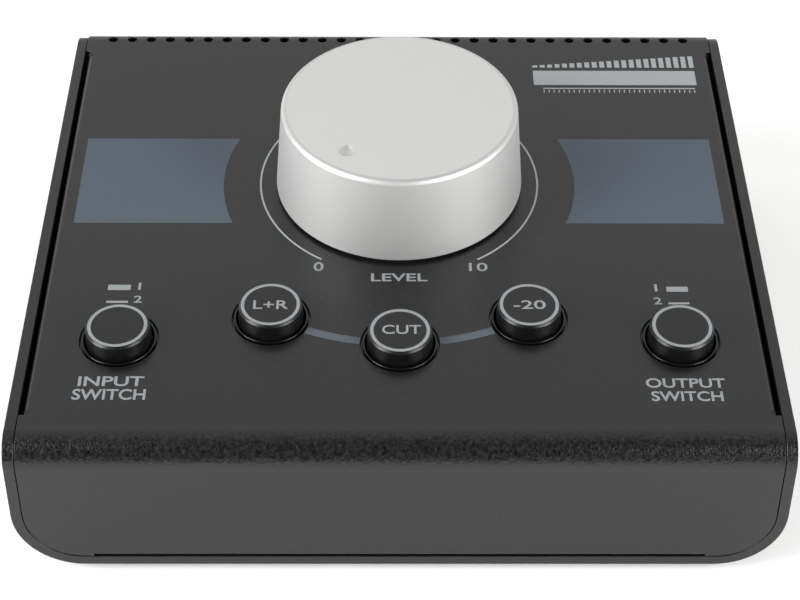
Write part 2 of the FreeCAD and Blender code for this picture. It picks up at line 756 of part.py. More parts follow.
def panel_board_screws():
    """Six screws up through the control board."""
    one = screw(board_screw_radius, board_screw_length)
    one.translate(Vector(0, 0, board_underside))
    return Part.makeCompound([on_panel(one, x, v) for x, v in mirrored(panel_standoff_spots)])


def jack_standoff_places():
    """Four pillars in front of the sockets."""
    y = jack_board_front_y + jack_standoff_inset
    return [(s * x, y) for x in (jack_standoff_middle, jack_board_half - jack_standoff_side) for s in sides]


def jack_board():
    """Level board under the sockets."""
    board = box(-jack_board_half, jack_board_half, jack_board_front_y, back_y - jack_board_back,
                jack_board_top - board_thickness, jack_board_top)
    deep = jack_board_top - board_thickness - EPS
    high = jack_board_top + EPS
    holes = [rod(terminal_radius + pin_play, deep, high, x + px, back_y + py)
             for x in jack_spots for px, py in jack_pin_spots]
    holes += [rod(terminal_radius + pin_play, deep, high, px, back_y + py) for px, py in mini_pin_spots]
    holes += [rod(board_screw_radius + screw_hole_play, deep, high, x, y) for x, y in jack_standoff_places()]
    return board.cut(holes)


def jack_board_standoffs():
    """Four pillars pressed into the bottom."""
    low = floor_z + wall
    high = jack_board_top - board_thickness
    pillars = []
    for x, y in jack_standoff_places():
        hole = rod(board_screw_radius + screw_clearance, high - board_screw_depth, high + EPS, x, y)
        pillars.append(rod(standoff_radius, low, high, x, y).cut(hole))
    return Part.makeCompound(pillars)


def jack_board_screws():
    """Four screws down through the jack board."""
    one = screw(board_screw_radius, board_screw_length)
    turned = Rotation(Vector(1, 0, 0), 180)
    return Part.makeCompound([moved(one, Placement(Vector(x, y, jack_board_top), turned))
                              for x, y in jack_standoff_places()])


def header(length, width_, low, high):
    """Cable header block."""
    return box(-length / 2, length / 2, -width_ / 2, width_ / 2, low, high)


def control_header():
    """Header under the control board."""
    block = header(header_length, header_width, board_underside - header_height, board_underside)
    return on_panel(block, 0, control_header_v)


def jack_header_y():
    """Middle of the header on the jack board."""
    return jack_board_front_y + jack_header_inset


def jack_header():
    """Header under the jack board."""
    top = jack_board_top - board_thickness
    block = header(header_length, header_width, top - header_height, top)
    block.translate(Vector(0, jack_header_y(), 0))
    return block


def ribbon_cable():
    """Flat cable between the headers: down from the control board, along and up to the jack board."""
    panel = Placement(panel_origin, Rotation(Vector(1, 0, 0), slope))
    start = panel.multVec(Vector(0, control_header_v, board_underside - header_height))
    down = panel.Rotation.multVec(Vector(0, 0, -1))
    low = floor_z + ribbon_height
    corner = start + down * ((start.z - low) / -down.z)
    top = jack_board_top - board_thickness - header_height
    line = [start, corner, Vector(0, jack_header_y(), low), Vector(0, jack_header_y(), top)]
    side = Vector(-ribbon_width / 2, 0, 0)
    half = ribbon_thickness / 2
    outer = inner_line(line, -half)
    outer = [p + side for p in outer]
    shortest = min((b - a).Length for a, b in zip(line, line[1:]))
    bend = min(ribbon_bend, 0.45 * shortest) + half
    return bent_sheet(outer, [bend, bend], ribbon_thickness, Vector(ribbon_width, 0, 0))


# ---------------------------------------------------------------- sockets
def jack():
    """Large plug socket in its own frame: body behind the back face, nose through it, blind bore."""
    half = jack_width / 2
    tall = jack_body_height / 2
    body = box(-half, half, -tall, tall, -sheet - jack_length, -sheet)
    nose = rod(jack_nose_radius, -sheet - EPS, jack_nose_length)
    pins = [socket_pin(x, along, tall) for x, along in jack_pin_spots]
    entry = jack_bore_radius + jack_entry_play
    wide = rod(entry, -sheet - jack_entry_overlap, jack_nose_length)
    return fused([body, nose] + pins).cut([wide] + socket_bore(jack_bore_radius, jack_bore_depth, entry))


def socket_bore(radius, length, entry):
    """Cutters for a blind plug bore and the chamfer round its entry."""
    return [rod(radius, jack_nose_length - length, jack_nose_length + EPS),
            Part.makeCone(entry, entry + jack_mouth, jack_mouth,
                          Vector(0, 0, jack_nose_length - jack_mouth))]


def socket_pin(x, along, depth_to_board):
    """A pin down to and through the board, in a socket's frame, where the second axis points down."""
    pin = Part.makeCylinder(terminal_radius, pin_length + EPS, Vector(x, depth_to_board - EPS, along),
                            Vector(0, 1, 0))
    return pin


def mini_jack():
    """Small plug socket in the middle of the row."""
    half = mini_width / 2
    tall = jack_body_height / 2
    body = box(-half, half, -mini_top, tall, -sheet - mini_length, -sheet)
    nose = rod(mini_nose_radius, -sheet - EPS, jack_nose_length)
    pins = [socket_pin(x, along, tall) for x, along in mini_pin_spots]
    bore = socket_bore(mini_bore_radius, mini_bore_depth, mini_bore_radius)
    return on_back(fused([body, nose] + pins).cut(bore), 0)


def jack_washers():
    """Washers on the back face, one for each socket."""
    large = tube(jack_washer_radius, jack_nose_radius + screw_clearance, 0, jack_washer_thickness)
    small = tube(mini_washer_radius, mini_nose_radius + screw_clearance, 0, jack_washer_thickness)
    return Part.makeCompound([on_back(large, x) for x in jack_spots] + [on_back(small, 0)])


def jack_nuts():
    """Hexagonal nuts on the noses."""
    low = jack_washer_thickness
    large = hexagon(jack_nut_flats, low, low + jack_nut_height).cut(
        rod(jack_nose_radius + screw_clearance, 0, jack_nose_length + EPS))
    small = hexagon(mini_nut_flats, low, low + jack_nut_height).cut(
        rod(mini_nose_radius + screw_clearance, 0, jack_nose_length + EPS))
    return Part.makeCompound([on_back(large, x) for x in jack_spots] + [on_back(small, 0)])


# ---------------------------------------------------------------- the whole object
def all_parts():
    """Every sub-part by name."""
    parts = {
        "base_shell": base_shell(), "top_cover": top_cover(), "feet": feet(), "cover_screws": cover_screws(),
        "knob_cap": knob_cap(), "knob_hub": knob_hub(), "pot_shaft": pot_shaft(), "pot_rotor": pot_rotor(),
        "pot_bushing": pot_bushing(), "pot_can": pot_can(), "pot_track": pot_track(),
        "pot_washer": pot_washer(), "pot_nut": pot_nut(), "control_board": control_board(),
        "panel_standoffs": panel_standoffs(), "panel_board_screws": panel_board_screws(),
        "jack_board": jack_board(), "jack_board_standoffs": jack_board_standoffs(),
        "jack_board_screws": jack_board_screws(), "control_header": control_header(),
        "jack_header": jack_header(), "ribbon_cable": ribbon_cable(), "mini_jack": mini_jack(),
        "jack_washers": jack_washers(), "jack_nuts": jack_nuts(),
    }
    makers = {"button": button_cap, "collar": button_collar, "stem": switch_stem,
              "spring": switch_spring, "switch": switch_body}
    for name, spot in button_spots.items():
        for kind, make in makers.items():
            parts[f"{name}_{kind}"] = make(spot)
    socket = jack()
    for name, x in zip(jack_names, jack_spots):
        parts[f"{name}_jack"] = on_back(socket, x)
    return parts


def main():
    os.makedirs("parts", exist_ok=True)
    for name, shape in all_parts().items():
        solids = shape.Solids
        if not solids or not all(s.isValid() and s.Volume > 0 for s in solids):
            raise ValueError(f"{name} is not a set of closed solids")
        out = solids[0] if len(solids) == 1 else Part.makeCompound(solids)
        out.exportStep(f"parts/{name}.step")


main()
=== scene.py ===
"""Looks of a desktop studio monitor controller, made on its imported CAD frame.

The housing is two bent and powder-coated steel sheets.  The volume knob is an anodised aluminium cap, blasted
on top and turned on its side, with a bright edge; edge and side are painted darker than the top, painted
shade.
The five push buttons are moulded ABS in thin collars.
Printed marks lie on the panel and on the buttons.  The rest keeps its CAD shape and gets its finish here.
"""

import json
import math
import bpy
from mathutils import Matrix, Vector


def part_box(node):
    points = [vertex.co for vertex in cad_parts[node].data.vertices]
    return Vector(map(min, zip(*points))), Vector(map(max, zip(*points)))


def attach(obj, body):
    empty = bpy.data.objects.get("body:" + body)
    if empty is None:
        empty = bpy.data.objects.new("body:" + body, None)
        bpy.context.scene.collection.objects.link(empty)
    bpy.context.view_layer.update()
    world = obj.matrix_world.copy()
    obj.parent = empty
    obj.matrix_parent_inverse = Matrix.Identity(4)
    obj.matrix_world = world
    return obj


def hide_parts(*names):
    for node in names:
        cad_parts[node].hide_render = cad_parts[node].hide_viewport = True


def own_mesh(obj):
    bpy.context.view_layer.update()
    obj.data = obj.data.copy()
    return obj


bl_info = {
    "name": "Studio Monitor Controller",
    "version": (1, 0, 0),
    "blender": (4, 5, 0),
    "location": "3D View > Sidebar > Controller",
    "description": "Builds a desktop monitor controller with one large knob and five push buttons",
    "category": "Add Mesh",
}

import bmesh
import bpy
from bpy.props import FloatProperty, FloatVectorProperty, IntProperty, PointerProperty, StringProperty
from bpy.types import Operator, Panel, PropertyGroup
from mathutils import Euler, Matrix, Vector

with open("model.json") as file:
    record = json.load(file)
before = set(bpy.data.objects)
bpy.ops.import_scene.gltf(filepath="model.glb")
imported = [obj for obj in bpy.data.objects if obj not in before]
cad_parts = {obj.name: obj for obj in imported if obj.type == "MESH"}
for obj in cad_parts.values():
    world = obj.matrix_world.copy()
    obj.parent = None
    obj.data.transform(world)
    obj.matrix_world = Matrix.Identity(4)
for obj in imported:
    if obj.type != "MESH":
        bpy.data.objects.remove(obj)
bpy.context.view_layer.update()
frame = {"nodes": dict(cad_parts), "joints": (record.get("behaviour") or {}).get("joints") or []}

MM = 0.001
BUTTONS = ("source", "mono", "mute", "dim", "monitor")


def srgb(code):
    """Linear colour of an sRGB hex code."""
    values = [int(code[i:i + 2], 16) / 255 for i in (1, 3, 5)]
    return tuple(v / 12.92 if v <= 0.04045 else ((v + 0.055) / 1.055) ** 2.4 for v in values)


# ---------------------------------------------------------------- places, read from the frame
KNOB_JOINT = next(j for j in frame["joints"] if j["name"] == "knob_turn")
KNOB_CENTRE = Vector(KNOB_JOINT["pos_m"])
PANEL_NORMAL = -Vector(KNOB_JOINT["axis"])
PANEL_UP = PANEL_NORMAL.cross(Vector((1, 0, 0)))
SHELL_LOW, SHELL_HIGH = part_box("base_shell")
HALF_WIDTH = SHELL_HIGH.x
KNOB_V = (KNOB_CENTRE.y - SHELL_LOW.y) / PANEL_UP.y


def panel_place(x=0.0, v=0.0, turn=0.0):
    """Matrix from a piece drawn on the panel, at x and v up the slope, to the object's frame."""
    basis = Matrix((Vector((1, 0, 0)), PANEL_UP, PANEL_NORMAL)).transposed().to_4x4()
    spot = Matrix.Translation((x, v - KNOB_V, 0)) @ Matrix.Rotation(turn, 4, "Z")
    return Matrix.Translation(KNOB_CENTRE) @ basis @ spot


# ---------------------------------------------------------------- settings
def millimetres(default, name, description):
    """A length setting."""
    return FloatProperty(name=name, description=description, default=default * MM, unit="LENGTH")


def degrees(default, name, description):
    """An angle setting."""
    return FloatProperty(name=name, description=description, default=math.radians(default), subtype="ANGLE",
                         unit="ROTATION")


def hex_colour(default, name, description):
    """A colour setting."""
    return FloatVectorProperty(name=name, description=description, default=srgb(default), subtype="COLOR")


class ControllerHousing(PropertyGroup):
    """The two bent sheets."""
    edge: millimetres(0.16, "Edge radius", "Rounding that the coat gives to cut sheet edges")
    coat: hex_colour("#151516", "Coat colour", "Powder coat of both sheets")
    grain: millimetres(0.6, "Coat grain", "Width of one bump of the fine texture")


class ControllerKnob(PropertyGroup):
    """The volume knob."""
    lift: millimetres(0.85, "Gap", "Rim above the panel")
    height: millimetres(26.0, "Height", "Rim to top face")
    base: millimetres(34.25, "Rim radius", "Outer radius at the rim")
    top: millimetres(32.2, "Top radius", "Radius where side and top would meet")
    edge: millimetres(1.5, "Edge", "Rounding of the top edge")
    wall: millimetres(2.4, "Wall", "Thickness of the skirt")
    roof: millimetres(3.0, "Roof", "Thickness of the top")
    dimple_ring: millimetres(24.0, "Pointer distance", "Pointer dimple to the knob's axis")
    dimple_radius: millimetres(2.1, "Pointer radius", "Radius of the pointer dimple")
    dimple_depth: millimetres(0.65, "Pointer depth", "Depth of the pointer dimple")
    pointer: degrees(-36, "Pointer angle", "Pointer at rest, from the front of the dial")
    colour: hex_colour("#dfdfde", "Metal colour", "Clear anodised aluminium")
    segments: IntProperty(name="Segments", description="Steps round the knob", default=256, min=32)


class ControllerButtons(PropertyGroup):
    """The five push buttons and their collars."""
    ring: millimetres(64.4, "Button circle", "The three middle buttons' distance to the knob's axis")
    ring_angle: degrees(31.4, "Spread", "Outer middle buttons, from the front of the circle")
    side_inset: millimetres(25.3, "Side inset", "Select buttons to the side of the housing")
    select_v: millimetres(38.5, "Select place", "Select buttons, up the slope")
    hole: millimetres(10.2, "Hole radius", "Panel hole")
    top: millimetres(4.76, "Height", "Cap top above the panel")
    colour: hex_colour("#0b0b0c", "Plastic colour", "Moulded ABS of caps and collars")
    segments: IntProperty(name="Segments", description="Steps round a button", default=128, min=24)


class ControllerPrint(PropertyGroup):
    """Printed marks on the panel and the buttons."""
    film: millimetres(0.025, "Ink film", "Ink above the surface")
    light: hex_colour("#9a9ea0", "Light ink", "Dial arc and bars")
    grey: hex_colour("#888b8d", "Grey ink", "Words, dashes and the buttons' marks")
    blue: hex_colour("#464f5a", "Blue-grey ink", "Large fields")
    pale_blue: hex_colour("#50575f", "Pale blue-grey ink", "Arc between the middle buttons")
    arc: millimetres(38.8, "Dial arc radius", "Light line round the knob")
    line: millimetres(0.5, "Dial arc width", "Width of that line")
    bars: IntProperty(name="Ramp bars", description="Bars of the level ramp", default=22, min=2)
    left_words: StringProperty(name="Left words", description="Under the left button", default="INPUT SWITCH")
    right_words: StringProperty(name="Right words", description="Under the right button",
                                default="OUTPUT SWITCH")


class ControllerStage(PropertyGroup):
    """Floor, light and camera."""
    lens: FloatProperty(name="Lens", description="Focal length in mm for a 36 mm sensor", default=87.53)
    place: FloatVectorProperty(name="Camera place", description="Where the camera stands",
                               default=(-0.003329, -0.43438, 0.369318), unit="LENGTH", subtype="TRANSLATION")
    aim: FloatVectorProperty(name="Camera aim", description="Pitch down, yaw to the right and roll",
                             default=(0.679967, 0.008547, 0.006538), subtype="EULER", unit="ROTATION")
    floor: hex_colour("#f9f9f8", "Floor colour", "Matt paper floor")
    # Painted glow: the floor gives off this light itself, paling the shadows on it.
    glow: FloatProperty(name="Floor glow", description="Light that the paper lets through from below",
                        default=0.15)


SETTINGS = {"controller_housing": ControllerHousing, "controller_knob": ControllerKnob,
            "controller_buttons": ControllerButtons, "controller_print": ControllerPrint,
            "controller_stage": ControllerStage}


# ---------------------------------------------------------------- node and mesh helpers
def add_node(tree, kind, values=None, links=None, **settings):
    """One node with its settings, its fixed socket values and the sockets that feed it."""
    node = tree.nodes.new(kind)
    for key, value in settings.items():
        setattr(node, key, value)
    for key, value in (values or {}).items():
        node.inputs[key].default_value = value
    for key, source in (links or {}).items():
        tree.links.new(source, node.inputs[key])
    return node


class Surface:
    """A material in the making: its node tree, its Principled shader and its object coordinates."""

    def __init__(self, name, colour, roughness, metallic=0.0, ior=None):
        self.material = bpy.data.materials.new(name)
        self.material.use_nodes = True
        self.tree = self.material.node_tree
        self.tree.nodes.clear()
        self.colour = colour
        self.shader = self.node("ShaderNodeBsdfPrincipled",
                                {"Base Color": (*colour, 1), "Roughness": roughness, "Metallic": metallic})
        if ior is not None:
            self.shader.inputs["IOR"].default_value = ior
        self.node("ShaderNodeOutputMaterial", links={"Surface": self.shader.outputs["BSDF"]})
        self.where = self.node("ShaderNodeTexCoord").outputs["Object"]

    def node(self, kind, values=None, links=None, **settings):
        """One node in this material."""
        return add_node(self.tree, kind, values, links, **settings)

    def feed(self, socket, source):
        """Links a source to a socket of the shader."""
        self.tree.links.new(source, self.shader.inputs[socket])

    def pattern(self, values, kind="ShaderNodeTexNoise", output="Fac", **settings):
        """Socket of a texture that stays with the piece, a noise unless another kind is named."""
        return self.node(kind, values, {"Vector": self.where}, **settings).outputs[output]

    def tint(self, factor, dark, light, low=0.3, high=0.7):
        """Base colour that runs from a darker to a lighter share of the colour with the factor."""
        part = self.node("ShaderNodeMapRange", {"From Min": low, "From Max": high}, {"Value": factor})
        ends = {6: (*shade(self.colour, dark), 1), 7: (*shade(self.colour, light), 1)}
        mix = self.node("ShaderNodeMix", ends, {0: part.outputs[0]}, data_type="RGBA")
        self.feed("Base Color", mix.outputs[2])

    def vary_roughness(self, factor, low, high):
        """Roughness between two values with the factor."""
        ends = {"From Min": 0.3, "From Max": 0.7, "To Min": low, "To Max": high}
        part = self.node("ShaderNodeMapRange", ends, {"Value": factor})
        self.feed("Roughness", part.outputs[0])

    def bump(self, factor, depth, strength=1.0, share=None):
        """Relief of the given depth, on top of what is there, as strong as the share where one is given."""
        links = {"Height": factor}
        if share is not None:
            links["Strength"] = share
        if self.shader.inputs["Normal"].is_linked:
            links["Normal"] = self.shader.inputs["Normal"].links[0].from_socket
        relief = self.node("ShaderNodeBump", {"Strength": strength, "Distance": depth}, links)
        self.feed("Normal", relief.outputs["Normal"])


def grain(size, detail=2.0, rough=0.55):
    """Values of a noise whose features are about size across."""
    return {"Scale": 1 / size, "Detail": detail, "Roughness": rough}


def waves(pitch):
    """Values of one wave in each pitch; a wave texture makes 20 / (2 pi) of them per unit of scale."""
    return {"Scale": math.tau / 20 / pitch}


def shade(colour, share):
    """The colour made darker or lighter by a factor."""
    return tuple(min(1.0, c * share) for c in colour)


def new_object(bm, name):
    """Puts a drawn mesh into the scene as an object."""
    mesh = bpy.data.meshes.new(name)
    bm.to_mesh(mesh)
    bm.free()
    piece = bpy.data.objects.new(name, mesh)
    bpy.context.scene.collection.objects.link(piece)
    return piece


def remove_object(piece):
    """Takes an object and its mesh out again."""
    mesh = piece.data
    bpy.data.objects.remove(piece)
    bpy.data.meshes.remove(mesh)


def take_mesh(bm, mesh):
    """Moves a mesh into a drawn one."""
    bm.from_mesh(mesh)
    bpy.data.meshes.remove(mesh)
    return bm


def clean(bm, outward=True):
    """Merges double points and, if asked, turns the faces outward."""
    bmesh.ops.remove_doubles(bm, verts=bm.verts, dist=1e-7)
    if outward:
        bmesh.ops.recalc_face_normals(bm, faces=bm.faces)


def rounded(points, closed=False, steps=4):
    """A section through corner points (radius, height, rounding), each rounding drawn as an arc."""
    line = []
    last = len(points) - 1
    for i, (x, y, radius) in enumerate(points):
        here = Vector((x, y))
        if radius <= 0 or (not closed and i in (0, last)):
            line.append(here)
            continue
        before = Vector(points[i - 1][:2])
        after = Vector(points[(i + 1) % len(points)][:2])
        into, out = (here - before).normalized(), (after - here).normalized()
        turn = into.angle(out)
        reach = min(radius * math.tan(turn / 2), 0.48 * min((here - before).length, (after - here).length))
        radius = reach / math.tan(turn / 2)
        side = Vector((-into.y, into.x))
        sense = 1 if side.dot(out) > 0 else -1
        start = here - into * reach
        centre = start + side * sense * radius
        for k in range(steps + 1):
            line.append(centre + Matrix.Rotation(sense * turn * k / steps, 2) @ (start - centre))
    return line


def add_lathe(bm, outline, segments, closed=False, material=None):
    """Turns a section of points (radius, height) about the third axis; material gives a slot for each run."""
    rings = []
    for x, y in outline:
        if x < 1e-7:
            rings.append([bm.verts.new((0, 0, y))])
        else:
            rings.append([bm.verts.new((x * math.cos(a), x * math.sin(a), y))
                          for a in (2 * math.pi * i / segments for i in range(segments))])
    runs = list(zip(rings, rings[1:])) + ([(rings[-1], rings[0])] if closed else [])
    for number, (low, high) in enumerate(runs):
        for i in range(segments):
            j = i + 1
            corners = [low[i % len(low)], low[j % len(low)], high[j % len(high)], high[i % len(high)]]
            face = bm.faces.new(list(dict.fromkeys(corners)))
            face.material_index = material(number) if material else 0
    return rings


def add_band(bm, left, right, low, high, closed=False):
    """A thin closed slab between two matching lines of points (x, y)."""
    sides = [[bm.verts.new((x, y, z)) for x, y in line] for line in (left, right) for z in (high, low)]
    left_top, left_low, right_top, right_low = sides
    count = len(left)
    for i in range(count if closed else count - 1):
        j = (i + 1) % count
        bm.faces.new((left_top[i], left_top[j], right_top[j], right_top[i]))
        bm.faces.new((left_low[i], right_low[i], right_low[j], left_low[j]))
        bm.faces.new((left_top[j], left_top[i], left_low[i], left_low[j]))
        bm.faces.new((right_top[i], right_top[j], right_low[j], right_low[i]))
    if not closed:
        for i in (0, count - 1):
            bm.faces.new((left_top[i], right_top[i], right_low[i], left_low[i]))


def add_box(bm, low, high):
    """A block between two corners."""
    made = bmesh.ops.create_cube(bm, size=1)["verts"]
    low, high = Vector(low), Vector(high)
    for vert in made:
        vert.co = Vector([l + (h - l) * (c + 0.5) for l, h, c in zip(low, high, vert.co)])


def arc(radius, start, end, steps, x=0.0, y=0.0):
    """Points on a circle, angles from +X in radians."""
    return [(x + radius * math.cos(a), y + radius * math.sin(a))
            for a in (start + (end - start) * i / steps for i in range(steps + 1))]


def add_words(bm, words, x0, x1, y0, y1, low, high, weight):
    """Raised words that fill a rectangle."""
    curve = bpy.data.curves.new("words", "FONT")
    curve.body, curve.extrude, curve.offset, curve.resolution_u = words, 0.5, weight, 6
    holder = bpy.data.objects.new("words", curve)
    bpy.context.scene.collection.objects.link(holder)
    mesh = bpy.data.meshes.new_from_object(holder.evaluated_get(bpy.context.evaluated_depsgraph_get()))
    bpy.data.objects.remove(holder)
    xs, ys = [v.co.x for v in mesh.vertices], [v.co.y for v in mesh.vertices]
    for vert in mesh.vertices:
        vert.co = ((vert.co.x - min(xs)) / (max(xs) - min(xs)) * (x1 - x0) + x0,
                   (vert.co.y - min(ys)) / (max(ys) - min(ys)) * (y1 - y0) + y0,
                   low + (vert.co.z + 0.5) * (high - low))
    take_mesh(bm, mesh)


def evaluated_mesh(piece, name):
    """A plain mesh of a piece with its modifiers done."""
    bpy.context.view_layer.update()
    graph = bpy.context.evaluated_depsgraph_get()
    mesh = bpy.data.meshes.new_from_object(piece.evaluated_get(graph), depsgraph=graph)
    mesh.name = name
    return mesh


def finish_piece(bm, name, body, materials, place=None, replaces=(), angle=32.0, bevel=0.0,
                 outward=True):
    """Turns a drawn mesh into a finished piece: cleaned, smooth up to an angle, riding on its body."""
    clean(bm, outward)
    if place is not None:
        bm.transform(place)
    piece = new_object(bm, name)
    mesh = piece.data
    mesh.shade_smooth()
    mesh.set_sharp_from_angle(angle=math.radians(angle))
    for material in materials:
        mesh.materials.append(material)
    if bevel:
        edge = piece.modifiers.new("Edges", "BEVEL")
        edge.width, edge.segments, edge.limit_method = bevel, 2, "WEIGHT"
        edge.use_clamp_overlap = edge.loop_slide = False
    flat = piece.modifiers.new("Even shading", "WEIGHTED_NORMAL")
    flat.keep_sharp, flat.mode = True, "FACE_AREA"
    made = evaluated_mesh(piece, name)
    piece.modifiers.clear()
    piece.data = made
    bpy.data.meshes.remove(mesh)
    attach(piece, body)
    if replaces:
        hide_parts(*replaces)
    return piece


def dress(material, *nodes):
    """Gives CAD nodes a material."""
    for node in nodes:
        mesh = frame["nodes"][node].data
        mesh.materials.clear()
        mesh.materials.append(material)


def socket_id(tree, name):
    """Identifier of a node group's input."""
    return next(item.identifier for item in tree.interface.items_tree
                if item.item_type == "SOCKET" and item.in_out == "INPUT" and item.name == name)


def run_tree(tree, name, inputs, points=((0, 0, 0),)):
    """Evaluates a node group on a mesh of points and returns the result as a plain mesh."""
    bm = bmesh.new()
    for point in points:
        bm.verts.new(point)
    holder = new_object(bm, name)
    step = holder.modifiers.new("Nodes", "NODES")
    step.node_group = tree
    for key, value in inputs.items():
        step[socket_id(tree, key)] = value
    made = evaluated_mesh(holder, name)
    remove_object(holder)
    return made


def new_tree(name, sockets):
    """A geometry node group with named inputs and one geometry output."""
    tree = bpy.data.node_groups.new(name, "GeometryNodeTree")
    for label, kind, default in sockets:
        item = tree.interface.new_socket(label, in_out="INPUT", socket_type=kind)
        if default is not None:
            item.default_value = default
    tree.interface.new_socket("Geometry", in_out="OUTPUT", socket_type="NodeSocketGeometry")
    return tree, add_node(tree, "NodeGroupInput").outputs


def end_tree(tree, instances, material):
    """Last nodes of a group: its instances as one mesh with a material."""
    real = add_node(tree, "GeometryNodeRealizeInstances", links={0: instances.outputs[0]})
    dressed = add_node(tree, "GeometryNodeSetMaterial", links={0: real.outputs[0], "Material": material})
    add_node(tree, "NodeGroupOutput", links={0: dressed.outputs[0]})
    return tree


def stand_tree():
    """Node group: one piece on every point, leant, and turned by chance about its own axis."""
    tree, given = new_tree("Stand pieces on points", [
        ("Points", "NodeSocketGeometry", None), ("Piece", "NodeSocketObject", None),
        ("Lean", "NodeSocketRotation", None), ("Largest turn", "NodeSocketFloat", math.tau),
        ("Seed", "NodeSocketInt", 3), ("Material", "NodeSocketMaterial", None)])
    piece = add_node(tree, "GeometryNodeObjectInfo", links={"Object": given["Piece"]})
    stood = add_node(tree, "GeometryNodeInstanceOnPoints",
                     links={"Points": given["Points"], "Instance": piece.outputs["Geometry"],
                            "Rotation": given["Lean"]})
    chance = add_node(tree, "FunctionNodeRandomValue", {2: 0.0}, {3: given["Largest turn"], 8: given["Seed"]},
                      data_type="FLOAT")
    turn = add_node(tree, "ShaderNodeCombineXYZ", links={"Z": chance.outputs[1]})
    turned = add_node(tree, "GeometryNodeRotateInstances",
                      links={"Instances": stood.outputs[0], "Rotation": turn.outputs[0]})
    return end_tree(tree, turned, given["Material"])


def bars_tree():
    """Node group: a row of thin bars whose height runs evenly from the first to the last."""
    tree, given = new_tree("Row of bars", [
        ("Count", "NodeSocketInt", 10), ("Material", "NodeSocketMaterial", None),
        *((label, "NodeSocketFloat", MM) for label in ("Pitch", "Width", "First height", "Last height",
                                                       "Thickness"))])
    step = add_node(tree, "ShaderNodeCombineXYZ", links={"X": given["Pitch"]})
    row = add_node(tree, "GeometryNodeMeshLine", links={"Count": given["Count"], "Offset": step.outputs[0]})
    steps = add_node(tree, "ShaderNodeMath", {1: 1.0}, {0: given["Count"]}, operation="SUBTRACT")
    tall = add_node(tree, "ShaderNodeMapRange",
                    links={"Value": add_node(tree, "GeometryNodeInputIndex").outputs[0],
                           "From Max": steps.outputs[0], "To Min": given["First height"],
                           "To Max": given["Last height"]})
    size = add_node(tree, "ShaderNodeCombineXYZ",
                    links={"X": given["Width"], "Y": tall.outputs[0], "Z": given["Thickness"]})
    block = add_node(tree, "GeometryNodeMeshCube")
    raised = add_node(tree, "GeometryNodeTransform", {"Translation": (0.5, 0.5, 0.0)}, {0: block.outputs[0]})
    bars = add_node(tree, "GeometryNodeInstanceOnPoints",
                    links={"Points": row.outputs[0], "Instance": raised.outputs[0], "Scale": size.outputs[0]})
    return end_tree(tree, bars, given["Material"])


def stand_copies(bm, name, points, material, replaces, lean=Euler(), largest_turn=math.tau, seed=3):
    """Copies of one drawn piece on every point, as one finished piece on the housing."""
    clean(bm)
    one = new_object(bm, name + "_one")
    made = run_tree(stand_tree(), name, {"Piece": one, "Lean": lean, "Largest turn": largest_turn,
                                         "Seed": seed, "Material": material}, points)
    remove_object(one)
    finish_piece(take_mesh(bmesh.new(), made), name, "housing", [material], replaces=(replaces,))


# ---------------------------------------------------------------- materials
def powder_coated_steel(colour, size):
    """Bent steel with a satin fine-texture powder coat: tiny even bumps, deeper on the bends, where painted
    glints and shade are put into the colour.
    """
    s = Surface("powder_coated_steel_fine_texture", colour, 0.3, ior=1.5)
    s.vary_roughness(s.pattern(grain(size * 2.5)), 0.27, 0.33)
    bumps = s.pattern(grain(size, 2.0, 0.6))
    s.bump(bumps, 0.03 * MM, 0.7)
    # Only a bend between the panel and the front or back face leans both ways: deeper relief there, and
    # painted glints and shade in the colour.
    normal = s.node("ShaderNodeSeparateXYZ", links={0: s.node("ShaderNodeNewGeometry").outputs["Normal"]})
    lean = s.node("ShaderNodeMath", links={0: normal.outputs["Y"], 1: normal.outputs["Z"]},
                  operation="MULTIPLY")
    bend = s.node("ShaderNodeMapRange", {"From Min": -0.15, "From Max": -0.35}, {"Value": lean.outputs[0]})
    s.bump(bumps, 0.12 * MM, 1.0, bend.outputs[0])
    # Painted glints and shade: on a bend the coat's random tone is stretched from near black to over twice as
    # light, standing in for light caught by the texture; on flat parts it stays a faint random change.
    painted_glint_contrast = s.node("ShaderNodeMapRange", {"To Min": 1.0, "To Max": 7.5}, {"Value": bend.outputs[0]})
    coat_tone_and_painted_glints = s.node("ShaderNodeMath", {1: 0.53}, {0: s.pattern(grain(size * 1.7))}, operation="SUBTRACT")
    coat_tone_and_painted_glints = s.node("ShaderNodeMath", {2: 0.5}, {0: coat_tone_and_painted_glints.outputs[0], 1: painted_glint_contrast.outputs[0]},
                  operation="MULTIPLY_ADD")
    s.tint(coat_tone_and_painted_glints.outputs[0], 0.02, 2.4, -0.9, 2.5)
    return s.material


BEADS = 0.45 * MM        # blasting leaves dents of 0.1 mm; drawn coarser to show


def blasted_aluminium(colour):
    """Anodised aluminium blasted with fine beads: soft wide highlights with a faint even grain."""
    s = Surface("anodised_aluminium_blasted", colour, 0.62, metallic=1.0)
    beads = s.pattern(grain(BEADS, 2.0, 0.6))
    s.tint(beads, 0.965, 1.0)
    s.vary_roughness(s.pattern(grain(1.2 * MM)), 0.58, 0.66)
    s.bump(beads, 0.012 * MM, 0.5)
    return s.material


def shaded_cut_aluminium(colour):
    """Anodised aluminium turned with a sharp tool after blasting: a bright satin edge, its colour painted
    darker than the knob's metal, painted shade.
    """
    s = Surface("anodised_aluminium_turned_edge_shaded", shade(colour, 0.86), 0.54, metallic=1.0)
    marks = s.pattern(grain(0.3 * MM, 1.0))
    s.vary_roughness(marks, 0.5, 0.58)
    s.bump(marks, 0.004 * MM, 0.3)
    return s.material


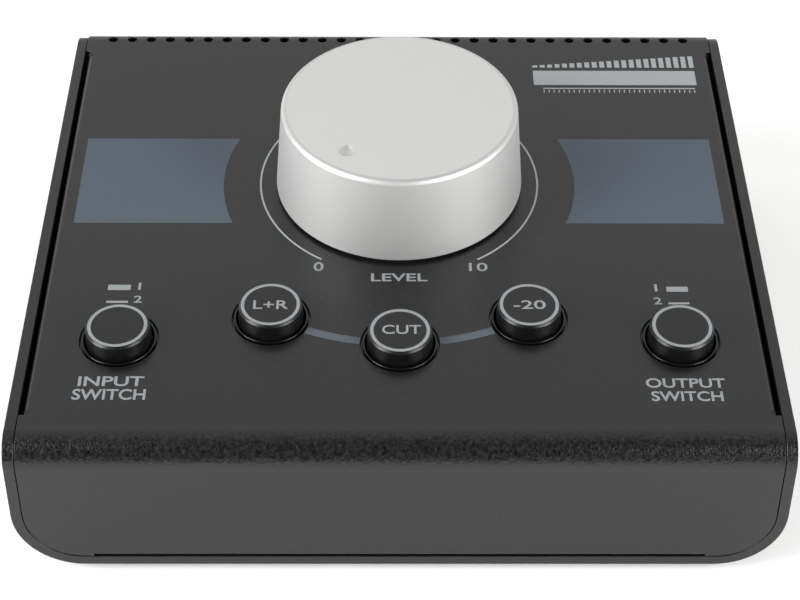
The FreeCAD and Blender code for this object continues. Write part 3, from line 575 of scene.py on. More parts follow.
def shaded_turned_aluminium(colour, axis):
    """Anodised aluminium turned, then lightly blasted: highlights stretch along the axis it was turned on;
    its colour is painted darker than the top's, painted shade on the side.
    """
    s = Surface("anodised_aluminium_turned_side_shaded", shade(colour, 0.79), 0.68, metallic=1.0)
    s.shader.inputs["Anisotropic"].default_value = 0.2
    s.feed("Tangent", s.node("ShaderNodeCombineXYZ", dict(zip("XYZ", axis))).outputs[0])
    beads = s.pattern(grain(BEADS, 2.0, 0.6))
    s.tint(beads, 0.965, 1.0)
    s.vary_roughness(s.pattern(grain(1.2 * MM)), 0.66, 0.7)
    s.bump(beads, 0.008 * MM, 0.4)
    return s.material


def moulded_abs(colour, name="abs_moulded_satin", roughness=0.3):
    """ABS moulded against a lightly etched tool: dark, with soft but clear highlights."""
    s = Surface(name, colour, roughness, ior=1.48)
    etch = s.pattern(grain(0.4 * MM))
    s.tint(etch, 0.9, 1.1)
    s.vary_roughness(s.pattern(grain(1.5 * MM)), roughness * 0.85, roughness * 1.15)
    s.bump(etch, 0.01 * MM, 0.4)
    return s.material


def printed_ink(name, colour):
    """Screen or pad printed ink: a thin matt film with slightly uneven cover."""
    s = Surface(name, colour, 0.55, ior=1.48)
    cover = s.pattern(grain(0.5 * MM, 3.0))
    s.tint(cover, 0.93, 1.05)
    s.vary_roughness(s.pattern(grain(1.1 * MM)), 0.5, 0.6)
    s.bump(cover, 0.012 * MM, 0.4)
    return s.material


def plated_metal(name, colour, roughness, mark=0.25):
    """Turned or pressed metal with a thin plating: bright, with fine tool marks round it."""
    s = Surface(name, colour, roughness, metallic=1.0)
    marks = s.pattern(grain(mark * MM))
    s.tint(s.pattern(grain(2.5 * MM)), 0.92, 1.0)
    s.vary_roughness(marks, roughness * 0.8, roughness * 1.25)
    s.bump(marks, 0.006 * MM, 0.4)
    return s.material


def moulded_rubber(colour):
    """Black rubber moulded with a dull skin."""
    s = Surface("rubber_moulded_dull", colour, 0.75, ior=1.52)
    s.tint(s.pattern(grain(2.0 * MM)), 0.85, 1.2)
    s.bump(s.pattern(grain(0.35 * MM, 3.0)), 0.03 * MM, 0.5)
    return s.material


def threaded_nylon(colour, pitch):
    """Black glass-filled nylon: dull, with a moulded thread along the nose of a socket."""
    s = Surface("nylon_moulded_threaded", colour, 0.45, ior=1.53)
    s.tint(s.pattern(grain(0.6 * MM)), 0.9, 1.15)
    s.bump(s.pattern(grain(0.3 * MM)), 0.015 * MM, 0.4)
    thread = s.pattern(waves(pitch), "ShaderNodeTexWave", bands_direction="Y", wave_profile="TRI")
    s.bump(thread, 0.25 * MM, 0.7)
    return s.material


def solder_mask(colour):
    """Glass-epoxy board under a glossy green mask, with faint copper runs below it."""
    s = Surface("glass_epoxy_green_solder_mask", colour, 0.28, ior=1.52)
    run, row, edge = 12.7 * MM, 2.54 * MM, 0.2 * MM
    runs = s.pattern({"Color1": (0, 0, 0, 1), "Color2": (0.35, 0.35, 0.35, 1), "Mortar": (1, 1, 1, 1),
                      "Scale": 1.0, "Mortar Size": edge, "Brick Width": run, "Row Height": row},
                     "ShaderNodeTexBrick", "Color")
    s.tint(runs, 1.0, 1.9, 0.0, 1.0)
    s.bump(runs, 0.035 * MM, 0.4)
    return s.material


def ribbon_pvc(colour, pitch):
    """Extruded flat cable: grey PVC with one rib for each wire, and painted shade in the grooves between the
    ribs.
    """
    s = Surface("pvc_extruded_flat_cable", colour, 0.4, ior=1.53)
    ribs = s.pattern(waves(pitch), "ShaderNodeTexWave", bands_direction="X", wave_profile="SIN")
    # Painted shade: the colour darkens to 0.7 of the grey in the grooves between the ribs.
    s.tint(ribs, 0.7, 1.0, 0.0, 1.0)
    s.bump(ribs, 0.2 * MM, 0.8)
    return s.material


def paper_with_painted_glow(colour, glow):
    """Matt white paper with a painted glow: it gives off a little light of its own, which pales the shadows
    on it and lights the object a little from below.
    """
    s = Surface("paper_matt_white", colour, 0.9)
    s.tint(s.pattern(grain(60 * MM)), 0.985, 1.0)
    s.shader.inputs["Emission Color"].default_value = (*colour, 1)
    s.shader.inputs["Emission Strength"].default_value = glow
    return s.material


# ---------------------------------------------------------------- pieces
def weigh_edges(bm, keep):
    """Gives bevel weight to long clean edges; corners where three or more edges meet stay as cut."""
    weight = bm.edges.layers.float.new("bevel_weight_edge")

    def is_sharp(edge):
        return len(edge.link_faces) == 2 and edge.calc_face_angle(0.0) > math.radians(40)

    sharp = [e for e in bm.edges if is_sharp(e)]
    meets = {}
    for edge in sharp:
        for vert in edge.verts:
            meets[vert] = meets.get(vert, 0) + 1
    for edge in sharp:
        ends = [v for v in edge.verts if meets[v] != 2]
        if len(ends) == 2 and edge.calc_length() < 4 * keep or edge.calc_length() < keep and ends:
            continue
        middle = edge
        for vert in ends:
            length = middle.calc_length()
            stub, _ = bmesh.utils.edge_split(middle, vert, keep / length)
            stub, middle = (stub, middle) if vert in stub.verts else (middle, stub)
        middle[weight] = 1.0


def sheet_copy(node, name, settings, material):
    """A merged copy of a bent sheet with its cut edges softened by the coat."""
    bm = bmesh.new()
    bm.from_mesh(frame["nodes"][node].data)
    bmesh.ops.remove_doubles(bm, verts=bm.verts, dist=2e-6)
    bmesh.ops.dissolve_limit(bm, angle_limit=math.radians(0.4), verts=bm.verts, edges=bm.edges)
    for face in bm.faces:
        face.material_index = 0
    weigh_edges(bm, 0.6 * MM)
    piece = finish_piece(bm, name, "housing", [material], replaces=(node,), angle=38.0,
                         bevel=settings.edge, outward=False)
    low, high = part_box(node)
    for vert in piece.data.vertices:
        vert.co = [min(max(c, l), h) for c, l, h in zip(vert.co, low, high)]
    return piece


def ring_edges(bm, ring):
    """Edges between the points of a ring."""
    points = set(ring)
    return [e for e in bm.edges if points.issuperset(e.verts)]


def knob_cap(s, top_metal, edge_metal, side_metal):
    """Cap with a blasted top, a bright edge, a turned side, a hollow inside and a ground pointer dimple; edge
    and side wear materials painted darker than the top, painted shade.
    """
    top = s.lift + s.height
    lean = (s.base - s.top) / s.height
    inside_top = s.top + lean * s.roof - s.wall
    chamfer = 0.35 * MM
    section = [(s.top - 3 * MM, top, 0), (s.top, top, s.edge), (s.base, s.lift + chamfer, 0.12 * MM),
               (s.base - chamfer, s.lift, 0.1 * MM), (s.base - s.wall, s.lift, 0.15 * MM),
               (inside_top, top - s.roof, 0.4 * MM), (0, top - s.roof, 0)]
    # The first run is the top, the next eight are the rounding of its edge, and the side follows.
    last_of_edge = 8
    bm = bmesh.new()
    cap = add_lathe(bm, rounded(section, steps=last_of_edge), s.segments,
                    material=lambda run: (run >= 1) + (run > last_of_edge))
    outer = ring_edges(bm, cap[0])

    ball = (s.dimple_radius ** 2 + s.dimple_depth ** 2) / (2 * s.dimple_depth)
    reach = math.asin(s.dimple_radius / ball)
    dent = [(s.dimple_radius + 0.12 * MM, top), (s.dimple_radius + 0.05 * MM, top - 0.012 * MM)]
    dent += [(ball * math.sin(a), top + ball - s.dimple_depth - ball * math.cos(a))
             for a in (reach * (1 - i / 10) for i in range(11))]
    dimple = add_lathe(bm, dent, 64, material=lambda run: 1)
    bmesh.ops.translate(bm, verts=[v for ring in dimple for v in ring], vec=(0, -s.dimple_ring, 0))
    fill = bmesh.ops.triangle_fill(bm, edges=outer + ring_edges(bm, dimple[0]), use_beauty=True,
                                   normal=(0, 0, 1))
    for face in fill["geom"]:
        if isinstance(face, bmesh.types.BMFace):
            face.material_index = 0
    finish_piece(bm, "volume_knob", "knob", [top_metal, edge_metal, side_metal],
                 panel_place(0, KNOB_V, s.pointer), ("knob_cap",), angle=40.0)


def button_places(s):
    """Where each button stands: x, and v up the slope."""
    x, v = s.ring * math.sin(s.ring_angle), KNOB_V - s.ring * math.cos(s.ring_angle)
    select = HALF_WIDTH - s.side_inset
    return {"source": (-select, s.select_v), "mono": (-x, v), "mute": (0.0, KNOB_V - s.ring), "dim": (x, v),
            "monitor": (select, s.select_v)}


CAP_RADIUS, CAP_DRAFT, CAP_BEVEL, CAP_SKIRT = 8.7 * MM, 0.4 * MM, 0.5 * MM, 4.0 * MM
CAP_WALL, CAP_ROOF = 1.2 * MM, 1.4 * MM
STEM_HALF, SOCKET_WALL, SOCKET_DEPTH = 1.53 * MM, 1.1 * MM, 4.2 * MM


def button_cap(s, name, x, v, plastic):
    """Hollow cap: drafted skirt, flat top with a rounded bevel, and a square socket for the stem."""
    narrow = CAP_RADIUS - CAP_DRAFT
    under = s.top - CAP_ROOF
    section = [(0, s.top, 0), (narrow - CAP_BEVEL, s.top, 0.15 * MM), (narrow, s.top - CAP_BEVEL, 0.25 * MM),
               (CAP_RADIUS, -CAP_SKIRT, 0.15 * MM), (CAP_RADIUS - CAP_WALL, -CAP_SKIRT, 0.15 * MM),
               (narrow - CAP_WALL, under, 0.3 * MM), (0, under, 0)]
    bm = bmesh.new()
    add_lathe(bm, rounded(section), s.segments)
    outer, low = STEM_HALF + SOCKET_WALL, under - SOCKET_DEPTH
    corners = [(-1, -1), (1, -1), (1, 1), (-1, 1)]
    inside, outside = ([(a * half, b * half) for a, b in corners] for half in (STEM_HALF, outer))
    add_band(bm, inside, outside, low, under, closed=True)
    finish_piece(bm, name + "_cap", name + "_key", [plastic], panel_place(x, v), (name + "_button",))


def button_collar(s, name, x, v, plastic):
    """Guide ring: stands on the board, bears on the panel's inside and shows a thin lip in the hole."""
    lip, bore = s.hole - 0.55 * MM, s.hole - 1.1 * MM
    flange, tube = s.hole + 2.2 * MM, bore + 1.1 * MM
    board, flange_low, sheet, proud = -20 * MM, -2.4 * MM, -1.2 * MM, 0.25 * MM
    section = [(bore, board, 0.1 * MM), (tube, board, 0.1 * MM), (tube, flange_low, 0.2 * MM),
               (flange, flange_low, 0.15 * MM), (flange, sheet, 0.05 * MM), (lip, sheet, 0.05 * MM),
               (lip, proud, 0.16 * MM), (bore, proud, 0.16 * MM)]
    bm = bmesh.new()
    add_lathe(bm, rounded(section, closed=True), s.segments, closed=True)
    finish_piece(bm, name + "_ring", "housing", [plastic], panel_place(x, v), (name + "_collar",))


COIL_RADIUS, WIRE_RADIUS, COIL_TURNS, COIL_GAP = 2.45 * MM, 0.2 * MM, 4.5, 0.06 * MM
COIL_LOW, COIL_HIGH = -13.0 * MM, -8.0 * MM      # switch body and stem seat, along the panel's normal


def return_spring(name, x, v, wire):
    """Compression spring under a stem, its end turns closed, from the switch body up to the stem's seat."""
    steps, sides = 162, 10
    bottom = COIL_LOW + COIL_GAP + WIRE_RADIUS
    room = COIL_HIGH - COIL_LOW - 2 * (COIL_GAP + WIRE_RADIUS)
    bm = bmesh.new()
    rings = []
    for i in range(steps + 1):
        turn = COIL_TURNS * i / steps
        rise = min(max((turn - 0.5) / (COIL_TURNS - 1), 0), 1)
        out = Vector((math.cos(math.tau * turn), math.sin(math.tau * turn), 0))
        middle = out * COIL_RADIUS + Vector((0, 0, bottom + room * rise))
        rings.append([bm.verts.new(middle + (out * math.cos(a) + Vector((0, 0, math.sin(a)))) * WIRE_RADIUS)
                      for a in (math.tau * k / sides for k in range(sides))])
    for one, other in zip(rings, rings[1:]):
        for k in range(sides):
            bm.faces.new((one[k], other[k], other[(k + 1) % sides], one[(k + 1) % sides]))
    bm.faces.new(rings[0])
    bm.faces.new(rings[-1][::-1])
    piece = finish_piece(bm, name + "_coil", "housing", [wire], panel_place(x, v), (name + "_spring",),
                         angle=50.0)
    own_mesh(piece)


SUNK = -0.05 * MM                                # underside of the ink, in the surface that carries it
CAP_RING = (6.8 * MM, 7.68 * MM)                 # inner and outer radius of the ring on a cap
BAND_HALF, BAND_CLEAR = 1.22 * MM, 10.35 * MM    # arc between middle buttons: half width, clear of a button
FIELD_LOW, FIELD_HIGH = 83.3, 119.7              # large fields up the slope, in mm
FIELD_SIDE, FIELD_ROUND = 89.3, 49.15            # their outer side and the radius of their inner side, in mm
DIAL_GAP = math.radians(32.8)                    # ends of the dial arc, from its front
DOWN = -math.pi / 2

# Words as (text, left, right, low, high, weight) and bars as (left, right, low, high), in mm on the panel.
CAP_WORDS = {"mono": ("L+R", -38.0, -28.9, 44.6, 47.8, 0.012), "mute": ("CUT", -4.6, 5.4, 35.5, 38.8, 0.012),
             "dim": ("-20", 29.4, 37.8, 44.7, 47.9, 0.012)}
SCALE_WORDS = (("0", -23.0, -20.4, 64.1, 67.5, 0.012), ("10", 18.6, 23.6, 64.1, 67.3, 0.012),
               ("LEVEL", -7.6, 7.4, 60.1, 63.1, 0.016), ("1", -69.2, -68.5, 56.7, 59.4, 0.012),
               ("2", -70.0, -67.8, 51.8, 54.4, 0.012), ("1", 67.6, 68.3, 56.3, 59.0, 0.012),
               ("2", 66.9, 69.0, 51.4, 54.0, 0.012))
DASHES = ((-77.2, -71.2, 56.6, 58.6), (-77.1, -71.4, 51.7, 52.5), (70.7, 76.4, 56.2, 58.1),
          (70.7, 76.2, 51.4, 52.1))
BARS = ((40.3, 88.8, 145.2, 152.1), (43.0, 88.0, 143.3, 143.8))
SWITCH_WORDS = ((-81.2, -64.6, 21.6, 25.0), (-82.2, -63.8, 16.9, 20.6), (62.0, 82.0, 21.2, 24.5),
                (63.0, 81.0, 16.6, 20.0))
SWITCH_WEIGHT = 0.018
# Rows of bars as (first height, last height, left, low, bar width, pitch), in mm.
RAMP_ROW = (1.0, 5.7, 40.3, 153.7, 1.45, 2.246)
TICK_ROW, TICKS = (1.3, 1.3, 43.0, 141.5, 0.32, 1.4893), 31


def add_bar(bm, x0, x1, v0, v1, low, high):
    """A printed rectangle, sizes in mm."""
    near, far = ([(x0 * MM, v * MM), (x1 * MM, v * MM)] for v in (v0, v1))
    add_band(bm, near, far, low, high)


def add_arc(bm, radius, half, start, end, steps, low, high):
    """A printed arc round the knob's axis."""
    inner, outer = (arc(r, start, end, steps, 0, KNOB_V) for r in (radius - half, radius + half))
    add_band(bm, inner, outer, low, high)


def button_print(s, p, name, x, v, ink):
    """Ring and words printed on a cap."""
    bm = bmesh.new()
    if name in CAP_WORDS:
        words, x0, x1, v0, v1, weight = CAP_WORDS[name]
        add_words(bm, words, x0 * MM - x, x1 * MM - x, v0 * MM - v, v1 * MM - v, SUNK, p.film, weight)
    inner, outer = (arc(radius, 0, math.tau, 128)[:-1] for radius in CAP_RING)
    add_band(bm, inner, outer, SUNK, p.film, closed=True)
    finish_piece(bm, name + "_mark", name + "_key", [ink],
                 panel_place(x, v) @ Matrix.Translation((0, 0, s.top)))


def panel_print(p, b, light, grey, blue, pale_blue):
    """Fields, arcs, scale and words on the panel."""
    low, high = SUNK, p.film
    fields, arcs, marks, words = (bmesh.new() for _ in range(4))
    clear = math.asin(BAND_CLEAR / b.ring)
    for side in (-1, 1):
        rows = [(FIELD_LOW + (FIELD_HIGH - FIELD_LOW) * i / 48) * MM for i in range(49)]
        outer = [(side * FIELD_SIDE * MM, v) for v in rows]
        inner = [(side * math.sqrt((FIELD_ROUND * MM) ** 2 - (v - KNOB_V) ** 2), v) for v in rows]
        add_band(fields, outer, inner, low, high)
        start, end = (DOWN + side * turn for turn in (clear, b.ring_angle - clear))
        add_arc(arcs, b.ring, BAND_HALF, start, end, 40, low, high)
    add_arc(marks, p.arc, p.line / 2, DOWN + DIAL_GAP, 1.5 * math.pi - DIAL_GAP, 192, low, high)
    for bar in DASHES:
        add_bar(words, *bar, low, high)
    for bar in BARS:
        add_bar(marks, *bar, low, high)
    switches = [side.split()[end] for side in (p.left_words, p.right_words) for end in (0, -1)]
    lines = [(line, *place, SWITCH_WEIGHT) for line, place in zip(switches, SWITCH_WORDS)]
    for line, x0, x1, v0, v1, weight in (*SCALE_WORDS, *lines):
        add_words(words, line, x0 * MM, x1 * MM, v0 * MM, v1 * MM, low, high, weight)
    tree = bars_tree()
    for count, (first, last, x, v, width, pitch) in ((p.bars, RAMP_ROW), (TICKS, TICK_ROW)):
        row = run_tree(tree, "row", {"Count": count, "Pitch": pitch * MM, "Width": width * MM,
                                     "First height": first * MM, "Last height": last * MM,
                                     "Thickness": high - low, "Material": light})
        row.transform(Matrix.Translation((x * MM, v * MM, (high + low) / 2)))
        take_mesh(marks, row)
    for face in marks.faces:
        face.material_index = 0
    for bm, name, ink in ((fields, "panel_fields", blue), (arcs, "button_arcs", pale_blue),
                          (marks, "panel_marks", light), (words, "panel_words", grey)):
        finish_piece(bm, name, "housing", [ink], panel_place())


def foot(radius, taper, height):
    """Tapered foot with a dished sole and rounded edges."""
    dish, deep, flat = 2.2 * MM, 0.8 * MM, 0.25 * MM
    section = [(0, deep, 0), (dish, deep, 0.2 * MM), (dish, 0, 0.25 * MM), (radius - taper, 0, 0.5 * MM),
               (radius, height - flat, 0.15 * MM), (radius, height, 0), (0, height, 0)]
    bm = bmesh.new()
    add_lathe(bm, rounded(section), 72)
    return bm


def cut_with(bm, cutter, name, operation="DIFFERENCE"):
    """The drawn mesh with another drawn mesh taken away, or what they share."""
    for part in (bm, cutter):
        clean(part)
    piece, tool = new_object(bm, name), new_object(cutter, name)
    step = piece.modifiers.new("Cut", "BOOLEAN")
    step.object, step.operation, step.solver = tool, operation, "EXACT"
    made = evaluated_mesh(piece, name)
    remove_object(piece)
    remove_object(tool)
    return take_mesh(bmesh.new(), made)


def cross_screw(head, height, shank, length, pitch):
    """Pan-head screw with a cross slot, head below the face it clamps."""
    section = [(0, -height, 0), (head * 0.55, -height, 0.6 * MM), (head, -height * 0.55, 0.5 * MM),
               (head, 0, 0.08 * MM), (shank, 0, 0.1 * MM)]
    plain, thread, point = 0.3 * MM, 0.28 * MM, 0.4 * MM
    turns = int((length - 2 * plain) / pitch)
    for i in range(turns):
        z = plain + i * pitch
        section += [(shank, z, 0), (shank - thread, z + pitch / 2, 0)]
    section += [(shank, plain + turns * pitch, 0), (shank - point, length, 0), (0, length, 0)]
    bm, cross = bmesh.new(), bmesh.new()
    add_lathe(bm, rounded(section, steps=5), 40)
    arm, half, below, floor = 1.6 * MM, 0.4 * MM, -2.4 * MM, -0.8 * MM
    for a, b in ((arm, half), (half, arm)):
        add_box(cross, (-a, -b, below), (a, b, floor))
    return cut_with(bm, cross, "screw")


def hex_nut(flats, height, bore):
    """Nut with both faces chamfered and a countersunk bore."""
    reach = flats / 2 / math.cos(math.pi / 6)
    corners = arc(reach, 0, math.tau, 6)[:-1]
    bm = bmesh.new()
    low_ring, top_ring = [[bm.verts.new((x, y, z)) for x, y in corners] for z in (0, height)]
    bm.faces.new(low_ring[::-1])
    bm.faces.new(top_ring)
    for i in range(6):
        j = (i + 1) % 6
        bm.faces.new((low_ring[i], low_ring[j], top_ring[j], top_ring[i]))
    land, wide, drop = flats / 2 * 0.97, 1.2 * MM, 0.608 * MM
    barrel = bmesh.new()
    add_lathe(barrel, [(0, 0), (land, 0), (land + wide, drop), (land + wide, height - drop), (land, height),
                       (0, height)], 72)
    bm = cut_with(bm, barrel, "nut", "INTERSECT")
    sink, past, deep = bore + 0.5 * MM, 0.05 * MM, 0.35 * MM
    drill = bmesh.new()
    add_lathe(drill, [(0, -MM), (sink, -MM), (sink, -past), (bore, deep), (bore, height - deep),
                      (sink, height + past), (sink, height + MM), (0, height + MM)], 64)
    return cut_with(bm, drill, "nut")


def washer(outer, bore, height):
    """Flat washer with rounded edges."""
    edge = 0.12 * MM
    bm = bmesh.new()
    add_lathe(bm, rounded([(bore, 0, edge), (outer, 0, edge), (outer, height, edge), (bore, height, edge)],
                          closed=True), 72, closed=True)
    return bm


# ---------------------------------------------------------------- floor, light and camera
DOME = ((0.3, 0.03), (0.41, 0.12), (0.57, 0.8), (0.72, 0.65), (0.83, 1.0), (0.93, 1.0), (1.0, 0.6))
# Lamps as name, way round from the front and rise in degrees, width and height in m, power in W.
LAMPS = (("left", -62, 24, 0.55, 0.9, 16.5), ("right", 53.5, 18.6, 0.6, 0.75, 14.2),
         ("rim", -137, 15, 0.5, 0.6, 0.5))
LAMP_DISTANCE, LAMP_AIM = 1.1, Vector((0, 0, 0.04))


def studio_dome(steps):
    """World light over the object: steps of (share of the way from the front to the back, brightness)."""
    world = bpy.data.worlds.new("studio")
    world.use_nodes = True
    tree = world.node_tree
    tree.nodes.clear()
    ray = add_node(tree, "ShaderNodeTexCoord").outputs["Generated"]
    along = add_node(tree, "ShaderNodeSeparateXYZ", links={0: ray}).outputs["Y"]
    share = add_node(tree, "ShaderNodeMapRange", {"From Min": -1.0}, {"Value": along})
    ramp = add_node(tree, "ShaderNodeValToRGB", links={0: share.outputs[0]})
    stops = ramp.color_ramp.elements
    stops.remove(stops[0])
    stops[0].position, stops[0].color = steps[0][0], (*[steps[0][1]] * 3, 1)
    for place, level in steps[1:]:
        stops.new(place).color = (level, level, level, 1)
    sky = add_node(tree, "ShaderNodeBackground", links={"Color": ramp.outputs[0]})
    add_node(tree, "ShaderNodeOutputWorld", links={"Surface": sky.outputs[0]})
    return world


def add_floor(s):
    """Paper floor on the table's plane."""
    bm = bmesh.new()
    bmesh.ops.create_grid(bm, x_segments=24, y_segments=24, size=3.0)
    floor = new_object(bm, "floor")
    floor.data.materials.append(paper_with_painted_glow(s.floor, s.glow))


def add_lamp(name, way, rise, width, height, power):
    """Rectangular lamp that shines at the object."""
    lamp = bpy.data.lights.new(name, "AREA")
    lamp.shape, lamp.size, lamp.size_y, lamp.energy = "RECTANGLE", width, height, power
    light = bpy.data.objects.new(name, lamp)
    bpy.context.scene.collection.objects.link(light)
    way, rise = math.radians(way), math.radians(rise)
    ray = Vector((math.sin(way) * math.cos(rise), -math.cos(way) * math.cos(rise), math.sin(rise)))
    light.location = ray * LAMP_DISTANCE + LAMP_AIM
    light.rotation_euler = ray.to_track_quat("Z", "Y").to_euler()


def add_camera(s):
    """Camera at its place, turned by its pitch, yaw and roll."""
    pitch, yaw, roll = s.aim
    ahead = Vector((math.sin(yaw) * math.cos(pitch), math.cos(yaw) * math.cos(pitch), -math.sin(pitch)))
    right = Vector((math.cos(yaw), -math.sin(yaw), 0))
    up = right.cross(ahead)
    turned = right * math.cos(roll) + up * math.sin(roll)
    raised = up * math.cos(roll) - right * math.sin(roll)
    lens = bpy.data.cameras.new("camera")
    lens.lens, lens.sensor_width, lens.clip_start = s.lens, 36, 0.01
    camera = bpy.data.objects.new("camera", lens)
    bpy.context.scene.collection.objects.link(camera)
    camera.matrix_world = Matrix.Translation(s.place) @ Matrix((turned, raised, -ahead)).transposed().to_4x4()
    bpy.context.scene.camera = camera


# ---------------------------------------------------------------- operators
class CONTROLLER_OT_stage(Operator):
    """Pale floor, soft lights and the camera"""
    bl_idname = "controller.stage"
    bl_label = "Stage"

    def execute(self, context):
        s = context.scene.controller_stage
        context.scene.view_settings.view_transform = "Standard"
        context.scene.view_settings.look = "None"
        add_floor(s)
        context.scene.world = studio_dome(DOME)
        for lamp in LAMPS:
            add_lamp(*lamp)
        add_camera(s)
        return {"FINISHED"}


class CONTROLLER_OT_housing(Operator):
    """Base shell and top cover"""
    bl_idname = "controller.housing"
    bl_label = "Housing"

    def execute(self, context):
        s = context.scene.controller_housing
        coat = powder_coated_steel(s.coat, s.grain)
        sheet_copy("base_shell", "base_sheet", s, coat)
        sheet_copy("top_cover", "cover_sheet", s, coat)
        return {"FINISHED"}


class CONTROLLER_OT_knob(Operator):
    """Volume knob"""
    bl_idname = "controller.knob"
    bl_label = "Volume knob"

    def execute(self, context):
        s = context.scene.controller_knob
        # Edge and side get darker copies of the top's metal colour: painted shade.
        knob_cap(s, blasted_aluminium(s.colour), shaded_cut_aluminium(s.colour),
                 shaded_turned_aluminium(s.colour, PANEL_NORMAL))
        return {"FINISHED"}


class CONTROLLER_OT_buttons(Operator):
    """Five push buttons with their collars and printed marks"""
    bl_idname = "controller.buttons"
    bl_label = "Push buttons"

    def execute(self, context):
        s, p = context.scene.controller_buttons, context.scene.controller_print
        cap = moulded_abs(s.colour, roughness=0.34)
        collar = moulded_abs(s.colour, "abs_moulded_gloss", 0.2)
        ink = printed_ink("pad_print_ink_grey", p.grey)
        for name, (x, v) in button_places(s).items():
            button_cap(s, name, x, v, cap)
            button_collar(s, name, x, v, collar)
            button_print(s, p, name, x, v, ink)
        return {"FINISHED"}


class CONTROLLER_OT_print(Operator):
    """Printed fields, scale, lines and words on the panel"""
    bl_idname = "controller.print"
    bl_label = "Panel print"

    def execute(self, context):
        p = context.scene.controller_print
        colours = {"light_grey": p.light, "grey": p.grey, "blue_grey": p.blue, "pale_blue_grey": p.pale_blue}
        inks = (printed_ink("screen_print_ink_" + name, colour) for name, colour in colours.items())
        panel_print(p, context.scene.controller_buttons, *inks)
        return {"FINISHED"}


class CONTROLLER_OT_underside(Operator):
    """Feet and bottom screws"""
    bl_idname = "controller.underside"
    bl_label = "Feet and screws"

    def execute(self, context):
        low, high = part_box("feet")
        radius = 6.5 * MM
        rows = (low.y + radius, high.y - radius)
        spots = [(x, y, 0) for x in (low.x + radius, high.x - radius) for y in rows]
        stand_copies(foot(radius, taper=0.9 * MM, height=high.z), "rubber_feet", spots,
                     moulded_rubber(srgb("#1b1b1b")), "feet")
        low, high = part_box("cover_screws")
        head = 2.8 * MM
        rows = (low.y + head, high.y - head)
        spots = [(x, y, SHELL_LOW.z) for y in rows for x in (low.x + head, 0.0, high.x - head)]
        one = cross_screw(head, height=1.7 * MM, shank=1.45 * MM, length=6 * MM, pitch=0.7 * MM)
        stand_copies(one, "bottom_screws", spots, plated_metal("steel_black_zinc", srgb("#2a2a2b"), 0.38),
                     "cover_screws", seed=11)
        return {"FINISHED"}


class CONTROLLER_OT_sockets(Operator):
    """Sockets on the back with their nuts and washers"""
    bl_idname = "controller.sockets"
    bl_label = "Sockets"

    def execute(self, context):
        names = [n for n in frame["nodes"] if n.endswith("_jack") and n != "mini_jack"]
        dress(threaded_nylon(srgb("#1a1a1b"), 0.75 * MM), "mini_jack", *names)
        nickel = plated_metal("brass_turned_nickel_plated", srgb("#cfccc4"), 0.22)
        steel = plated_metal("steel_pressed_nickel_plated", srgb("#c4c2bd"), 0.3)
        back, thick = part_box("top_cover")[1].y, 0.5 * MM
        low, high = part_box("jack_nuts")
        axis_z = (low.z + high.z) / 2
        lean = Euler((-math.pi / 2, 0, 0))
        large, small = [sum(corner.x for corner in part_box(n)) / 2 for n in names], [0.0]
        wide, narrow = 4.55 * MM, 3.05 * MM
        for name, nut, xs, seed in (("large_nuts", hex_nut(11 * MM, 2 * MM, wide), large, 5),
                                    ("small_nut", hex_nut(8 * MM, 2 * MM, narrow), small, 7)):
            spots = [(x, back + thick, axis_z) for x in xs]
            stand_copies(nut, name, spots, nickel, "jack_nuts", lean, seed=seed)
        for name, ring, xs in (("large_washers", washer(6.6 * MM, wide, thick), large),
                               ("small_washer", washer(4.8 * MM, narrow, thick), small)):
            spots = [(x, back, axis_z) for x in xs]
            stand_copies(ring, name, spots, steel, "jack_washers", lean, 0.0)
        return {"FINISHED"}


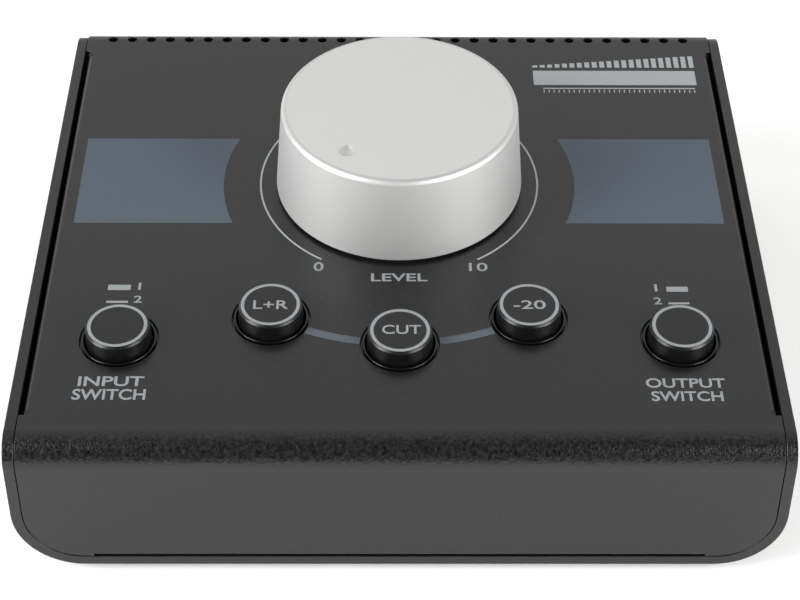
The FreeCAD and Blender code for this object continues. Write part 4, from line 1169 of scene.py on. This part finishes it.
class CONTROLLER_OT_inside(Operator):
    """Finishes of the boards, switches, potentiometer and cable inside"""
    bl_idname = "controller.inside"
    bl_label = "Inner parts"

    def execute(self, context):
        dress(solder_mask(srgb("#14502c")), "control_board", "jack_board")
        dress(ribbon_pvc(srgb("#a9a9a6"), 1.27 * MM), "ribbon_cable")
        dress(moulded_abs(srgb("#202022"), "nylon_moulded_black", 0.45), "knob_hub", "pot_rotor",
              "control_header", "jack_header", *(b + part for b in BUTTONS for part in ("_switch", "_stem")))
        dress(plated_metal("brass_turned_nickel_plated_inner", srgb("#c9c6be"), 0.28), "pot_shaft",
              "pot_bushing", "pot_washer", "pot_nut", "panel_standoffs", "jack_board_standoffs",
              "panel_board_screws", "jack_board_screws")
        dress(plated_metal("steel_pressed_tinned", srgb("#bdbdbb"), 0.35, 0.4), "pot_can")
        dress(moulded_abs(srgb("#5a3a22"), "phenolic_punched_brown", 0.5), "pot_track")
        wire = plated_metal("spring_steel_drawn_bright", srgb("#b9bab9"), 0.25, 0.15)
        for name, (x, v) in button_places(context.scene.controller_buttons).items():
            return_spring(name, x, v, wire)
        return {"FINISHED"}


OPERATORS = (CONTROLLER_OT_stage, CONTROLLER_OT_housing, CONTROLLER_OT_knob, CONTROLLER_OT_buttons,
             CONTROLLER_OT_print, CONTROLLER_OT_underside, CONTROLLER_OT_sockets, CONTROLLER_OT_inside)


class CONTROLLER_PT_tools(Panel):
    """Steps and sizes of the monitor controller"""
    bl_idname = "CONTROLLER_PT_tools"
    bl_label = "Monitor controller"
    bl_space_type = "VIEW_3D"
    bl_region_type = "UI"
    bl_category = "Controller"

    def draw(self, context):
        column = self.layout.column(align=True)
        for operator in OPERATORS:
            column.operator(operator.bl_idname)
        for name, group in SETTINGS.items():
            box = self.layout.box()
            box.label(text=name.split("_")[-1].capitalize())
            for key in group.__annotations__:
                box.prop(getattr(context.scene, name), key)


def register():
    for cls in (*SETTINGS.values(), *OPERATORS, CONTROLLER_PT_tools):
        bpy.utils.register_class(cls)
    for name, group in SETTINGS.items():
        setattr(bpy.types.Scene, name, PointerProperty(type=group))


def unregister():
    for name in SETTINGS:
        delattr(bpy.types.Scene, name)
    for cls in (CONTROLLER_PT_tools, *reversed(OPERATORS), *SETTINGS.values()):
        bpy.utils.unregister_class(cls)


def main():
    """Registers the add-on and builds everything."""
    register()
    steps = bpy.ops.controller
    for step in (steps.stage, steps.housing, steps.knob, steps.buttons, steps.print, steps.underside,
                 steps.sockets, steps.inside):
        if step() != {"FINISHED"}:
            raise RuntimeError("a step didn't finish")


if __name__ == "__main__":
    main()
